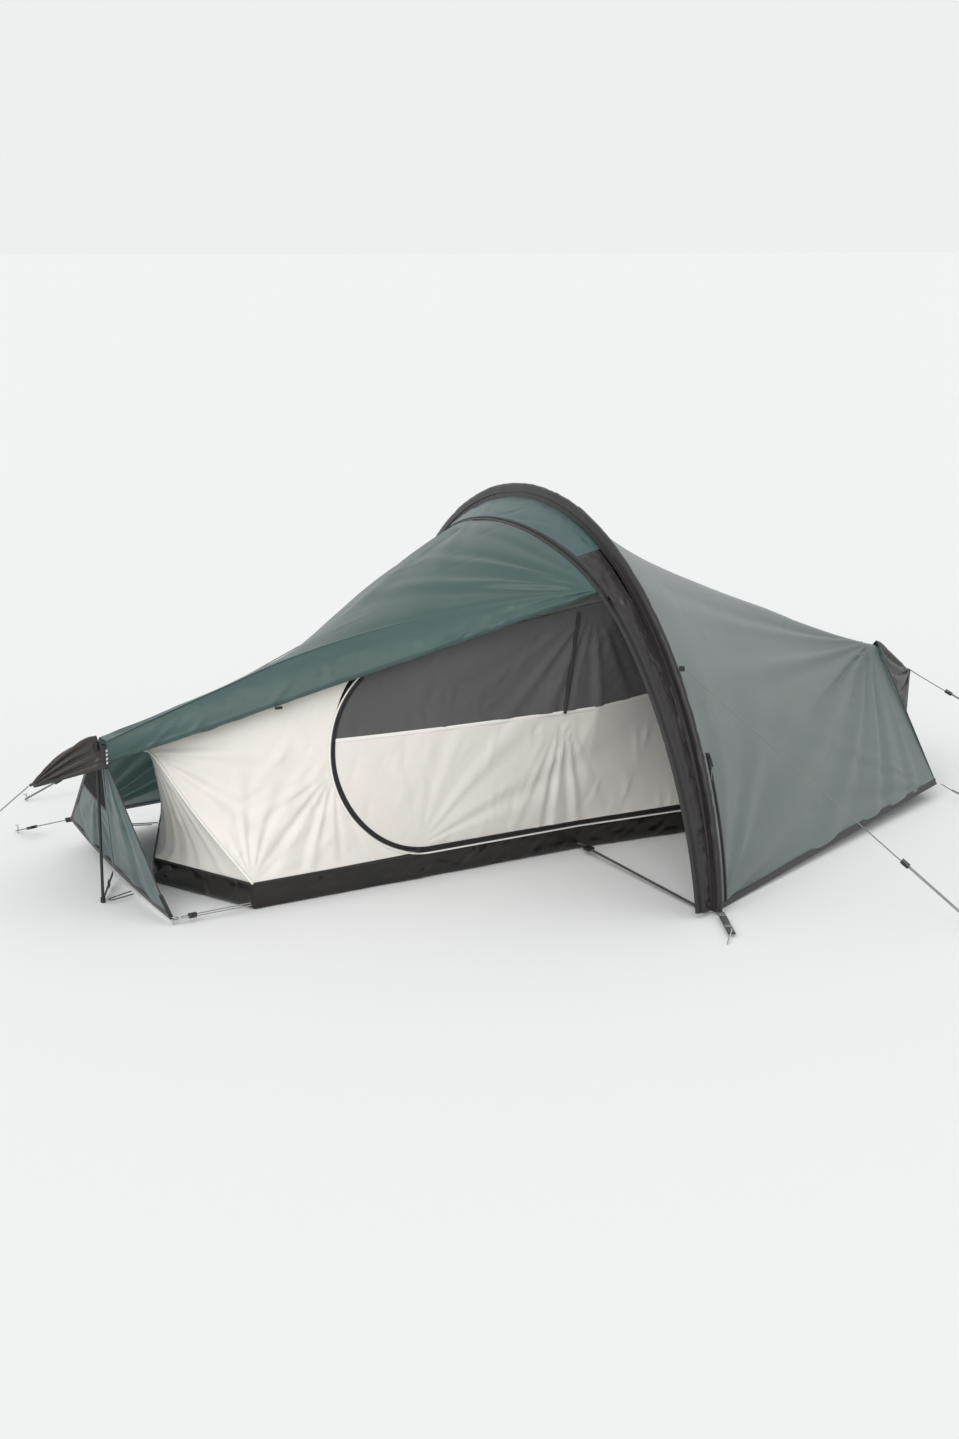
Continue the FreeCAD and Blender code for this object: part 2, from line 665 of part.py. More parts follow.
def make_hoop_pole():
    """Shock-corded tube sections that bend into the hoop, with their joining sleeves."""
    first, last = 1.6, 178.4
    angles = [mix(first, last, f) for f in steps(POLE_SECTIONS + 1)]
    line = lambda angle: hoop_point(angle, POLE_INSET, 0)
    tubes, elastic = [], []
    for low, high in zip(angles, angles[1:]):
        arc = Part.Arc(line(low + 0.15), line((low + high) / 2), line(high - 0.15)).toShape()
        path = Part.Wire([arc])
        start, ahead = line(low + 0.15), arc.tangentAt(arc.FirstParameter)
        rings = [Part.Wire(Part.makeCircle(r, start, ahead)) for r in (POLE_RADIUS, POLE_RADIUS - 0.7)]
        outer, inner = [path.makePipeShell([ring], True, False) for ring in rings]
        tubes.append(outer.cut(inner))
        cord = Part.Wire(Part.makeCircle(ELASTIC_RADIUS, start, ahead))
        elastic.append(path.makePipeShell([cord], True, False))
    save("hoop_pole_sections", *tubes)
    save("hoop_shock_cord", *elastic)
    ferrules = []
    for angle in angles[1:-1]:
        middle = line(angle)
        along = (line(angle + 1) - line(angle - 1)).normalize() * (FERRULE_LENGTH / 2)
        ferrules.append(hollow_rod(middle - along, middle + along, FERRULE_RADIUS, POLE_RADIUS + 0.6))
    save("hoop_pole_ferrules", *ferrules)
    tips = []
    for angle in (first, last):
        end = line(angle)
        tips.append(rod(Vector(end.x, end.y, 1), Vector(end.x, end.y, end.z - 3), POLE_RADIUS))
    save("hoop_pole_tips", *tips)


def make_struts():
    fittings = []
    for name, foot, top in (("left", STRUT_LEFT_FOOT, STRUT_LEFT_TOP),
                            ("right", STRUT_RIGHT_FOOT, STRUT_RIGHT_TOP)):
        low, high = place(*foot), place(*top)
        axis = (high - low).normalize()
        save("strut_" + name, rod(low + axis * 14, high, STRUT_RADIUS))
        boot = rod(low + axis * 1, low + axis * 13.5, STRUT_RADIUS + 2.5)
        cap = hollow_rod(high - axis * 62, high - axis * 3, STRUT_RADIUS + 2.5, STRUT_RADIUS + 0.4)
        fittings += [boot, cap]
    save("strut_boots_and_pockets", *fittings)


# Webbing, buckles, pegs

FOOT_PEG = (-84, 1092)


def make_foot_straps():
    straps, pegs = [], []
    for side in (-1, 1):
        start = place(-6, side * (HALF_SPAN + 6), 12)
        end = place(FOOT_PEG[0] + 8, side * (FOOT_PEG[1] - 10), 9)
        strap = bar(start, end, Vector(0, 0, 1).cross(end - start), WEBBING, TAPE)
        at = end - (end - start).normalize() * 9
        eyelet = Part.makeCylinder(PEG_RADIUS + 1, 30, at - Vector(0, 0, 15))
        straps.append(strap.cut(eyelet))
        ground = place(FOOT_PEG[0] - 34, side * (FOOT_PEG[1] + 28), 2)
        hole = end - (end - start).normalize() * 9
        head = hole + Vector(0, 0, 8)
        shank = rod(ground, head + (head - ground).normalize() * 4, PEG_RADIUS)
        drop = rod(Vector(head.x, head.y, 2), head + Vector(0, 0, 2), PEG_RADIUS)
        pegs.append(shank.fuse(drop))
    save("foot_straps", *straps)
    save("foot_and_corner_pegs", *pegs, *corner_ring_and_peg())


def make_end_straps():
    """The strap from each end hem to its strut's foot, with a ladder-lock buckle."""
    straps, buckles = [], []
    for foot, hem in ((STRUT_LEFT_FOOT, (-1234, 106, 24)), (STRUT_RIGHT_FOOT, (1252, 66, 34))):
        away = 1 if hem[0] > foot[0] else -1
        start, end = place(*hem), place(foot[0] + away * 8, foot[1] + 14, 8)
        middle = mix(start, end, 0.45)
        along = (end - start).normalize()
        wide = Vector(0, 0, 1)
        strap = bar(start + along * 6, middle - along * 11, wide, 12, TAPE)
        lower = bar(middle + along * 11, end, wide, 12, TAPE)
        straps += [strap, lower]
        frame = bar(middle - along * 10, middle + along * 10, wide, 18, 4)
        slot = bar(middle - along * 6, middle - along * 2, wide, 12, 8)
        slot_b = bar(middle + along * 2, middle + along * 6, wide, 12, 8)
        buckles.append(frame.cut(slot).cut(slot_b))
    save("end_straps", *straps)
    save("end_buckles", *buckles)


PORCH_START = (0, -268, 20)
PORCH_END = (-26, -906, 9)
PORCH_BUCKLE_AT = 0.085


def make_porch_strap():
    """The strap that holds the porch width, from the tub to the near foot."""
    start, end = place(*PORCH_START), place(*PORCH_END)
    along = (end - start).normalize()
    side = Vector(1, 0, 0)
    save("porch_strap", bar(start, end, side, 12, 2))
    middle = mix(start, end, PORCH_BUCKLE_AT)
    block = bar(middle - along * 13, middle + along * 13, side, 22, 9)
    channel = bar(middle - along * 20, middle + along * 20, side, 13.5, 3.6)
    save("porch_buckle", block.cut(channel))


def make_door_toggle():
    """The toggle and loop that tie the rolled door up."""
    edge = door_edge(0.66)
    bead = rod(edge + Vector(-9, -2, -11), edge + Vector(9, -2, -11), 4)
    save("door_toggle", bead)


# Guy lines: each runs from a tab on the tent round a peg and back to its runner.

PEG_TURN = 5.5


def guy_points(tab, peg, runner_at, side):
    """The hand-set route of one guy line, in order from its tab to its tied end."""
    start, end = place(*tab), place(peg[0], peg[1], 7)
    along = (end - start).normalize()
    across = along.cross(Vector(0, 0, 1)).normalize() * (side * LOOP_WIDTH / 2)
    tied = mix(end, start, runner_at) - across
    turn = end + along * PEG_TURN
    return [start, start + along * 12, start + along * 42 + across, turn + across, turn - across, tied]


def runner(tab, peg, runner_at, side):
    start, end = place(*tab), place(peg[0], peg[1], 7)
    along = (end - start).normalize()
    across = along.cross(Vector(0, 0, 1)).normalize()
    middle = mix(end, start, runner_at) + along * (RUNNER_LENGTH / 2 - 6)
    block = bar(middle - along * (RUNNER_LENGTH / 2), middle + along * (RUNNER_LENGTH / 2), across, 21, 8)
    for offset in (0.5, -0.5):
        centre = middle + across * (side * offset * LOOP_WIDTH)
        block = block.cut(rod(centre - along * 20, centre + along * 20, 2.9))
    return block


def guy_peg(peg, facing):
    at = place(peg[0], peg[1], 0)
    shank = rod(at, at + Vector(0, 0, PEG_HEIGHT), PEG_RADIUS)
    top = at + Vector(0, 0, PEG_HEIGHT - 2 * PEG_RADIUS)
    return shank.fuse(rod(top, top + facing * 12, PEG_RADIUS * 0.8))


GUYS = {
    "hoop_near": ((4, -752, 604), (482, -1345), 0.25, 1),
    "hoop_far": ((-4, 752, 604), (-1180, 1012), 0.085, -1),
    "hood_left": ((-1490, -20, 326), (-1800, 180), 0.30, 1),
    "hood_right": ((1411, -20, 328), (1800, -500), 0.80, 1),
    "corner_left": ((-1240, 458, 84), (-1310, 686), 0.32, 1),
    "corner_right": ((1262, -356, 43), (1300, -470), 0.0, 1),
}


def make_guys():
    pegs = []
    for name, (tab, peg, runner_at, side) in GUYS.items():
        route = guy_points(tab, peg, runner_at, side)
        if runner_at > 0:
            save("runner_" + name, runner(tab, peg, runner_at, side))
        else:
            route = route[:-1] + [mix(place(peg[0], peg[1], 7), place(*tab), 0.7)]
        save("guy_" + name, cord_tube(name, route))
        facing = (place(*peg, 0) - place(tab[0], tab[1], 0)).normalize()
        pegs.append(guy_peg(peg, facing))
    save("guy_pegs", *pegs)


def make_corner_elastics():
    """Doubled elastics that pull the inner tent's corners out to the flysheet's."""
    near = [place(-1016, -306, 22), place(-1190, -304, 17), place(-1206, -304, 16),
            place(-1206, -314, 15), place(-1190, -314, 15), place(-1020, -318, 20)]
    save("elastic_near_corner", cord_tube("near corner", near))
    far = [place(-960, 484, 30), place(-1196, 450, 62), place(-1210, 449, 63),
           place(-1208, 440, 63), place(-1194, 440, 62), place(-985, 466, 32)]
    save("elastic_far_corner", cord_tube("far corner", far))
    foot = [place(-1236, -38, 14), place(-1292, -52, 10), place(-1304, -56, 9),
            place(-1307, -66, 9), place(-1296, -70, 9), place(-1238, -60, 13)]
    save("elastic_strut_foot", cord_tube("strut foot", foot))


def corner_ring_and_peg():
    at = place(-1222, -309, 0)
    ring = Part.makeTorus(9, 1.6, at + Vector(0, 0, 17), Vector(0.3, 0.25, 1))
    shank = rod(at + Vector(-6, 0, 0), at + Vector(-6, 0, 12), PEG_RADIUS)
    return ring, shank


def make_guy_tabs():
    """Webbing tabs where the hoop's and hoods' guy lines leave the tent."""
    tabs = []
    for side in (-1, 1):
        tabs.append(bar(place(0, side * 738, 602), place(0, side * 749, 605), Vector(0, 0, 1), 14, 4))
    for away, (station, y, z) in ((-1, LEFT_HOOD_TIP), (1, RIGHT_HOOD_TIP)):
        inner, outer = place(station + away * 2, y, z - 2), place(station + away * 6, y, z - 3)
        tabs.append(bar(inner, outer, Vector(0, 1, 0), 10, 3))
    save("guy_tabs", *tabs)


def print_joints():
    """Pivots of the curved zips, for the record's joints."""
    for name, points in (
            ("side zip", [hoop_point(a, SIDE_ZIP_INSET - 8.5, SIDE_ZIP_STATION)
                          for a in (SIDE_ZIP_FOOT + 4, 16, SIDE_ZIP_TOP)]),
            ("door zip", [zip_line(a) + outward_at(a) * 7 for a in (36, 46, K_ANGLE - 2)]),
            ("inner zip", [arc_point(d) + Vector(0, -INNER_SLIDER_LIFT, 0) for d in (-100, -150, -200)])):
        arc = Part.Arc(*points).toShape().Curve
        print(name, "centre", arc.Center, "axis", arc.Axis, "radius", round(arc.Radius, 1))
    low, high = near_wall(DOOR_HINGE_STATION, WALL_FOOT_Z), near_top(DOOR_HINGE_STATION)
    print("door hinge", low, (high - low).normalize())


make_flysheet()
make_door_roll()
make_hoods()
make_sleeve()
make_sleeve_panels()
make_fly_zips()
make_sliders()
make_inner_zip()
make_inner_slider()
make_tub()
make_inner()
make_hoop_pole()
make_struts()
make_foot_straps()
make_end_straps()
make_porch_strap()
make_door_toggle()
make_guys()
make_corner_elastics()
make_guy_tabs()
print_joints()
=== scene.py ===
import math

import bpy
import numpy as np
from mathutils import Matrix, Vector


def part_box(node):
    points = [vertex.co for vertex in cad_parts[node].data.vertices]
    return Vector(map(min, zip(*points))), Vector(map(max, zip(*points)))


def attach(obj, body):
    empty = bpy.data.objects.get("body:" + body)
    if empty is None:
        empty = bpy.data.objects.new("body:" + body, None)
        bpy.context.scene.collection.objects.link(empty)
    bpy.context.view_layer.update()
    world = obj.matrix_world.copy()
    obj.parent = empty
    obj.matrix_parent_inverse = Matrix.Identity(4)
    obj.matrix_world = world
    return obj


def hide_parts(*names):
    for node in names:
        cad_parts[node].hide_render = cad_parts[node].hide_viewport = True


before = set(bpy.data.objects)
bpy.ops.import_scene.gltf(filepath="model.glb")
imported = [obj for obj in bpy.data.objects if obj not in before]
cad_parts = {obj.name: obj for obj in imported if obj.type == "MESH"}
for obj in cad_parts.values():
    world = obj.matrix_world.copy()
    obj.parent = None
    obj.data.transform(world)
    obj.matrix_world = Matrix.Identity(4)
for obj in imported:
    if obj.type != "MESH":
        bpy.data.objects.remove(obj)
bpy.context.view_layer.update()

# A one-person single-hoop backpacking tent. Metres, in the CAD's frame: X along the tent,
# the porch door faces -Y, Z is up. "Station" is the distance along X from the hoop.
ROOT = "tent"
HOOP_X = 0.040
HALF_SPAN = 0.935
HEIGHT = 1.000
SIDE_POWER = 0.98
RISE_POWER = 1.1455
ZIP_WIDTH = 0.020
TUB_HEIGHT = 0.070
INNER_CORNER = 1.010
INNER_TOP_END = 1.180
INNER_END_HEIGHT = 0.370
INNER_BACK_CORNER = 0.950
INNER_TIP = 1.144
DOOR_ARC_STATION = -0.480
DOOR_ARC_HEIGHT = 0.340
DOOR_ARC_RADIUS = 0.260
DOOR_ARC_UPPER = 0.292
DOOR_HINGE_STATION = 0.400
WALL_FOOT_Z = TUB_HEIGHT + 0.018
ARC_TOP_Z = 0.566
MESH_LEFT_Z = 0.398
MESH_RIGHT_Z = 0.446
DOOR_SWEEP = 1.8
DOOR_TOP_ANGLE = 56.6
CROWN_ANGLE = 92.0
VENT_END_ANGLE = 126.0
FOOT_HEM_Z = 0.008
CORD = 0.003
LOOP_WIDTH = 0.011
NEAR_FOOT_Y, NEAR_FOOT_FLARE = -0.262, 0.040
BACK_FOOT_Y, BACK_FOOT_TAPER = 0.556, 0.084
TIP_Y = 0.035
ROOF_END = 1.150
NEAR_TOP_Y, NEAR_TOP_RISE = 0.440, 0.375
LEFT_TOP_POWERS, RIGHT_TOP_POWERS = (0.76, 0.66), (1.2, 1.07)
CREST_RISE, CREST_POWER = 0.470, 0.9
ARC_GAP = 0.003
SEAM_GAP = 0.004
HINGE_GAP = 0.002
END_GAP = 0.005
HOOD_TIP_SPREAD = 0.013
HOOD_TIP_DROP = 0.003
WALL_ROUNDS = 12

# Angle on the hoop, then the zip's distance left of the hoop and inside its arch.
ZIP_TABLE = [(0, 0.058, 0.007), (30, 0.084, 0.009), (DOOR_TOP_ANGLE, 0.086, 0.044),
             (75, 0.098, 0.080), (95, 0.106, 0.092), (112, 0.080, 0.080), (130, 0.022, 0.044),
             (150, 0.018, 0.036), (180, 0.016, 0.034)]
# Fraction from the hoop to the end, then height.
RIDGE_LEFT = [(0, 0.908), (0.1, 0.864), (0.2, 0.814), (0.285, 0.766), (0.434, 0.661),
              (0.582, 0.566), (0.69, 0.519), (0.854, 0.469), (1, 0.432)]
RIDGE_RIGHT = [(0, 0.966), (0.11, 0.884), (0.215, 0.811), (0.345, 0.737), (0.522, 0.651),
               (0.737, 0.551), (0.897, 0.475), (1, 0.440)]
SEAM_RISE = [(0, 0.003), (0.15, 0.038), (0.3, 0.064), (0.45, 0.081), (0.62, 0.085),
             (0.75, 0.074), (1, 0.058)]
SEAM_TUCK = 0.075
LEFT_BULGE_POWER = 1.6
RIGHT_BULGE_POWER = 1.35
RIGHT_EDGE_INSET, RIGHT_EDGE_STATION = 0.034, 0.017
FLAP_INSETS, FLAP_STATION = (0.020, 0.042), -0.016
LEFT_DOOR_END = (-1.298, -0.070, 0.372)
LEFT_PEAK = (-1.300, -0.022, 0.432)
LEFT_NEAR_CORNER = (-1.229, -0.300, 0.012)
LEFT_FAR_CORNER = (-1.229, 0.448, 0.087)
LEFT_HEM_MIDDLE = (-1.226, 0.120, 0.034)
RIGHT_PEAK = (1.246, -0.038, 0.443)
RIGHT_NEAR_CORNER = (1.250, -0.345, 0.045)
RIGHT_FAR_CORNER = (1.240, 0.440, 0.080)
RIGHT_HEM_MIDDLE = (1.240, 0.060, 0.045)
LEFT_END = [LEFT_NEAR_CORNER, (-1.297, -0.068, 0.366), LEFT_FAR_CORNER, (-1.297, 0.022, 0.408),
            LEFT_HEM_MIDDLE]
RIGHT_END = [RIGHT_NEAR_CORNER, (1.243, -0.064, 0.424), RIGHT_FAR_CORNER, (1.243, 0.016, 0.424),
             RIGHT_HEM_MIDDLE]
LEFT_HOOD = [(-1.308, -0.084, 0.366), (-1.308, -0.024, 0.437), (-1.308, 0.088, 0.350),
             (-1.481, -0.020, 0.330)]
RIGHT_HOOD = [(1.249, -0.198, 0.236), (1.256, -0.036, 0.440), (1.249, 0.150, 0.238),
              (1.401, -0.020, 0.331)]


# --- Shapes shared with the solid model -----------------------------------------------

def place(station, y, z):
    return Vector((station + HOOP_X, y, z))


def mix(a, b, fraction):
    return a + (b - a) * fraction


def steps(count):
    return [index / (count - 1) for index in range(count)]


def between(first, last, count):
    """Evenly spaced numbers or points from the first to the last."""
    return [mix(first, last, f) for f in steps(count)]


def smooth(table, at):
    """Catmull-Rom curve through a table whose first column is the station."""
    last = len(table) - 1
    index = 0
    while index < last - 1 and at > table[index + 1][0]:
        index += 1
    a, b = table[index], table[index + 1]
    before, after = table[max(index - 1, 0)], table[min(index + 2, last)]
    span = b[0] - a[0]
    f = (at - a[0]) / span
    values = []
    for column in range(1, len(a)):
        slope_a = (b[column] - before[column]) / (b[0] - before[0]) * span
        slope_b = (after[column] - a[column]) / (after[0] - a[0]) * span
        values.append((2 * f**3 - 3 * f**2 + 1) * a[column] + (f**3 - 2 * f**2 + f) * slope_a
                      + (3 * f**2 - 2 * f**3) * b[column] + (f**3 - f**2) * slope_b)
    return values


def hoop_point(angle, inset, station):
    """A point of the hoop's arch: inset is how far inside the outer line it lies."""
    turn = math.radians(angle)
    cosine, sine = math.cos(turn), max(math.sin(turn), 0.0)
    side = math.copysign(abs(cosine) ** SIDE_POWER, cosine)
    return place(station, -(HALF_SPAN - inset) * side, (HEIGHT - inset) * sine ** RISE_POWER)


def zip_line(angle):
    left, inset = smooth(ZIP_TABLE, angle)
    return hoop_point(angle, inset, -left)


def door_edge(u):
    return mix(zip_line(DOOR_TOP_ANGLE), place(*LEFT_DOOR_END), u)


def door_seam(u):
    return door_edge(u) + Vector((0, SEAM_TUCK * 4 * u * (1 - u), smooth(SEAM_RISE, u)[0]))


def at_height(point, z):
    return Vector((point.x, point.y, z))


def ridge_left(u):
    point = mix(zip_line(CROWN_ANGLE), place(*LEFT_PEAK), u)
    return at_height(point, smooth(RIDGE_LEFT, u)[0])


def hem(start, corner, u):
    return at_height(mix(start, place(*corner), u), mix(FOOT_HEM_Z, corner[2], u))


def left_hem(u):
    return hem(zip_line(180), LEFT_FAR_CORNER, u)


def left_roof(u, v):
    """From the door seam (v 0) over the ridge (v 1) to the far hem (v 2)."""
    low, high = (door_seam, ridge_left) if v <= 1 else (ridge_left, left_hem)
    first, last = (DOOR_TOP_ANGLE, CROWN_ANGLE) if v <= 1 else (CROWN_ANGLE, 180)
    share = v if v <= 1 else v - 1
    bulge = zip_line(mix(first, last, share)) - mix(low(0), high(0), share)
    return mix(low(u), high(u), share) + bulge * (1 - u) ** LEFT_BULGE_POWER


def right_edge(angle):
    return hoop_point(angle, RIGHT_EDGE_INSET, RIGHT_EDGE_STATION)


def ridge_right(u):
    point = mix(right_edge(90), place(*RIGHT_PEAK), u)
    return at_height(point, smooth(RIDGE_RIGHT, u)[0])


def right_hem(u, far):
    if far:
        return hem(right_edge(180), RIGHT_FAR_CORNER, u)
    return hem(right_edge(0), RIGHT_NEAR_CORNER, u)


def right_fly(u, v):
    """From the near hem (v 0) over the ridge (v 1) to the far hem (v 2)."""
    far = v > 1
    share = 2 - v if far else v
    chord = mix(right_hem(u, far), ridge_right(u), share)
    angle = mix(180 if far else 0, 90, share)
    bulge = right_edge(angle) - mix(right_hem(0, far), ridge_right(0), share)
    return chord + bulge * (1 - u) ** RIGHT_BULGE_POWER


def end_panel(corners):
    near_low, near_high, far_low, far_high, middle = [place(*corner) for corner in corners]

    def surface(s, w):
        base = mix(mix(near_low, near_high, w), mix(far_low, far_high, w), s)
        dip = middle - (near_low + far_low) * 0.5
        return base + dip * (4 * s * (1 - s) * (1 - w))
    return surface


def hood(corners, lift):
    near, top, far, end = [place(*corner) for corner in corners]
    spread = Vector((0, HOOD_TIP_SPREAD, 0))

    def surface(u, v):
        start = mix(near, top, v * 2) if v < 0.5 else mix(top, far, v * 2 - 1)
        finish = mix(end - spread, end + spread, v)
        finish = finish - Vector((0, 0, HOOD_TIP_DROP * abs(2 * v - 1)))
        rise = lift * 4 * u * (1 - u) * math.sin(math.pi * v)
        return mix(start, finish, u) + Vector((0, 0, rise))
    return surface


def sleeve_side(angle):
    return hoop_point(angle, mix(*FLAP_INSETS, min(angle / DOOR_TOP_ANGLE, 1)), FLAP_STATION)


def across_sleeve(angle, v):
    start, end = sleeve_side(angle), zip_line(angle)
    end = end - (end - start).normalized() * (ZIP_WIDTH / 2 - 0.001)
    return mix(start, end, v)


def near_foot_y(station):
    return NEAR_FOOT_Y - NEAR_FOOT_FLARE * abs(station) / INNER_CORNER


def back_foot_y(station):
    return BACK_FOOT_Y - BACK_FOOT_TAPER * abs(station) / INNER_BACK_CORNER


def near_top(station):
    f = min(abs(station) / INNER_TOP_END, 1.0)
    side_power, rise_power = LEFT_TOP_POWERS if station < 0 else RIGHT_TOP_POWERS
    return place(station, -NEAR_TOP_Y * (1 - f) ** side_power,
                 INNER_END_HEIGHT + NEAR_TOP_RISE * (1 - f) ** rise_power)


def crest(station):
    f = min(abs(station) / INNER_TOP_END, 1.0)
    return place(station, 0, INNER_END_HEIGHT + CREST_RISE * (1 - f) ** CREST_POWER)


def near_wall(station, z):
    """The point of the inner tent's near wall at a station and height."""
    s, w = 0.5, 0.5
    for _ in range(WALL_ROUNDS):
        half = mix(INNER_CORNER, INNER_TOP_END, w)
        s = (station + half) / (2 * half)
        top = near_top(mix(-INNER_TOP_END, INNER_TOP_END, s))
        w = (z - TUB_HEIGHT) / (top.z - TUB_HEIGHT)
    foot = mix(-INNER_CORNER, INNER_CORNER, s)
    return place(station, mix(near_foot_y(foot), top.y, w), z)


def arc_station(z, radius):
    tall = radius if z < DOOR_ARC_HEIGHT else radius * DOOR_ARC_UPPER / DOOR_ARC_RADIUS
    rise = min(abs(z - DOOR_ARC_HEIGHT) / tall, 1)
    return DOOR_ARC_STATION - radius * math.sqrt(1 - rise**2)


def to_top(station, z, weight):
    return near_wall(station, mix(z, near_top(station).z - 0.002, weight))


def wall_left(f, g):
    seam_z = mix(TUB_HEIGHT, INNER_END_HEIGHT - SEAM_GAP, f)
    seam_x = -mix(INNER_CORNER, INNER_TOP_END, f) + SEAM_GAP
    arc_z = mix(WALL_FOOT_Z - 0.012, ARC_TOP_Z, f)
    arc_x = arc_station(arc_z, DOOR_ARC_RADIUS + ARC_GAP)
    return to_top(mix(seam_x, arc_x, g), mix(seam_z, arc_z, g), f**6)


def door_cloth(f, g):
    f = (1 - math.cos(f * DOOR_SWEEP)) / (1 - math.cos(DOOR_SWEEP))
    arc_z = mix(WALL_FOOT_Z - ARC_GAP, MESH_LEFT_Z, f)
    x = mix(arc_station(arc_z, DOOR_ARC_RADIUS - ARC_GAP), DOOR_HINGE_STATION, g)
    return near_wall(x, mix(arc_z, mix(WALL_FOOT_Z, MESH_RIGHT_Z, f), g))


def door_mesh(f, g):
    arc_z = mix(MESH_LEFT_Z, ARC_TOP_Z - 0.010, f)
    x = mix(arc_station(arc_z, DOOR_ARC_RADIUS - ARC_GAP), DOOR_HINGE_STATION, g)
    right_z = mix(MESH_RIGHT_Z, near_top(DOOR_HINGE_STATION).z - SEAM_GAP, f)
    return to_top(x, mix(arc_z, right_z, g), f**6)


def wall_right(f, g):
    foot = mix(DOOR_HINGE_STATION + HINGE_GAP, INNER_CORNER - END_GAP, g)
    top = mix(DOOR_HINGE_STATION + HINGE_GAP, INNER_TOP_END - END_GAP, g)
    z = mix(TUB_HEIGHT, near_top(top).z - SEAM_GAP, f)
    return near_wall(mix(foot, top, f), z)


def inner_roof(u, v):
    station = mix(-ROOF_END, ROOF_END, u)
    return mix(near_top(station), crest(station), v)


def inner_back(u, v):
    foot = mix(-INNER_BACK_CORNER, INNER_BACK_CORNER, u)
    top = crest(mix(-ROOF_END, ROOF_END, u)) + Vector((0, 0.002, 0))
    return mix(top, place(foot, back_foot_y(foot) - SEAM_GAP, TUB_HEIGHT), v)


def inner_end(side):
    """End wall: v from the near corner seam (0) over the middle (0.5) to the back one (1)."""
    tip = place(side * (INNER_TIP - 0.003), TIP_Y, TUB_HEIGHT)

    def surface(u, v):
        near = wall_left(u, 0) if side < 0 else wall_right(u, 1)
        back = inner_back(0 if side < 0 else 1, 1 - u)
        middle = mix(tip, mix(near, back, 0.5), u)
        return mix(near, middle, v * 2) if v < 0.5 else mix(middle, back, v * 2 - 1)
    return surface


def tub_outline(inset):
    near_end, near_middle = near_foot_y(INNER_CORNER), near_foot_y(0)
    back_end, back_middle = back_foot_y(INNER_BACK_CORNER), back_foot_y(0)
    corner, back, tip = INNER_CORNER - inset, INNER_BACK_CORNER - inset, INNER_TIP - inset * 1.2
    return [(-corner, near_end + inset), (0, near_middle + inset), (corner, near_end + inset),
            (tip, TIP_Y), (back, back_end - inset), (0, back_middle - inset),
            (-back, back_end - inset), (-tip, TIP_Y)]


# --- Materials ------------------------------------------------------------------------

# At a scale of 1 the phase of a wave texture grows by this many radians on each metre.
PHASE_PER_METRE = 20
FINE_PITCH = 0.004
THREAD_SHARE = 0.6
CLOTH_CLOUDS, CLOTH_GRAIN, CLOTH_RELIEF = 4.0, 900, 0.0004
HARD_CLOUDS, HARD_MARKS, HARD_RELIEF = 60, 350, 0.0003
HARD_CONTRAST = 0.10
SCRATCH = 0.08


def linear(hex_colour):
    """Linear colour from a hex string such as '5e6e70'."""
    values = []
    for at in (0, 2, 4):
        c = int(hex_colour[at:at + 2], 16) / 255
        values.append(c / 12.92 if c <= 0.04045 else ((c + 0.055) / 1.055) ** 2.4)
    return tuple(values) + (1.0,)


def shader_of(name):
    mat = bpy.data.materials.new(name)
    mat.use_nodes = True
    return mat, mat.node_tree.nodes["Principled BSDF"]


def set_inputs(node, **values):
    """Sets inputs by name, with an underscore for each space."""
    for name, value in values.items():
        node.inputs[name.replace("_", " ")].default_value = value


def new_node(mat, kind, **values):
    node = mat.node_tree.nodes.new("ShaderNode" + kind)
    set_inputs(node, **values)
    return node


def link(mat, output, target):
    mat.node_tree.links.new(output, target)


def noise(mat, scale, detail):
    """Cloudy grey in the piece's own space."""
    cloud = new_node(mat, "TexNoise", Scale=scale, Detail=detail)
    link(mat, new_node(mat, "TexCoord").outputs["Object"], cloud.inputs["Vector"])
    return cloud.outputs["Fac"]


def mottle(mat, shader, colour, scale, contrast):
    """Lets the base colour vary softly over the surface."""
    ramp = new_node(mat, "ValToRGB")
    stops = ramp.color_ramp.elements
    for stop, position, amount in ((stops[0], 0.3, 1 - contrast), (stops[1], 0.7, 1 + contrast)):
        stop.position = position
        stop.color = tuple(min(c * amount, 1.0) for c in linear(colour)[:3]) + (1.0,)
    link(mat, noise(mat, scale, 5), ramp.inputs["Fac"])
    link(mat, ramp.outputs["Color"], shader.inputs["Base Color"])


def roughen(mat, shader, height, strength, depth):
    """Fine relief from a height."""
    bump = new_node(mat, "Bump", Strength=strength, Distance=depth)
    link(mat, height, bump.inputs["Height"])
    link(mat, bump.outputs["Normal"], shader.inputs["Normal"])


def let_light_through(mat, shader, colour, share):
    """This share of the light that falls on the back of the cloth comes out of its front."""
    glow = new_node(mat, "BsdfTranslucent", Color=linear(colour))
    blend = new_node(mat, "MixShader")
    blend.inputs[0].default_value = share
    link(mat, shader.outputs[0], blend.inputs[1])
    link(mat, glow.outputs[0], blend.inputs[2])
    link(mat, blend.outputs[0], mat.node_tree.nodes["Material Output"].inputs["Surface"])


def thread_wave(mat, direction, pitch):
    """Ribs across one direction of the cloth, at the pitch in metres."""
    wave = new_node(mat, "TexWave", Scale=1 / pitch / PHASE_PER_METRE * 2 * math.pi)
    wave.bands_direction = direction
    wave.wave_profile = "SAW" if pitch > FINE_PITCH else "SIN"
    link(mat, new_node(mat, "TexCoord").outputs["UV"], wave.inputs["Vector"])
    return wave.outputs["Fac"]


def worked_out(mat, operation, *terms):
    """A maths node's result. Each term is a decimal number or another node's output."""
    node = new_node(mat, "Math")
    node.operation = operation
    for socket, term in zip(node.inputs, terms):
        if isinstance(term, float):
            socket.default_value = term
        else:
            link(mat, term, socket)
    return node.outputs[0]


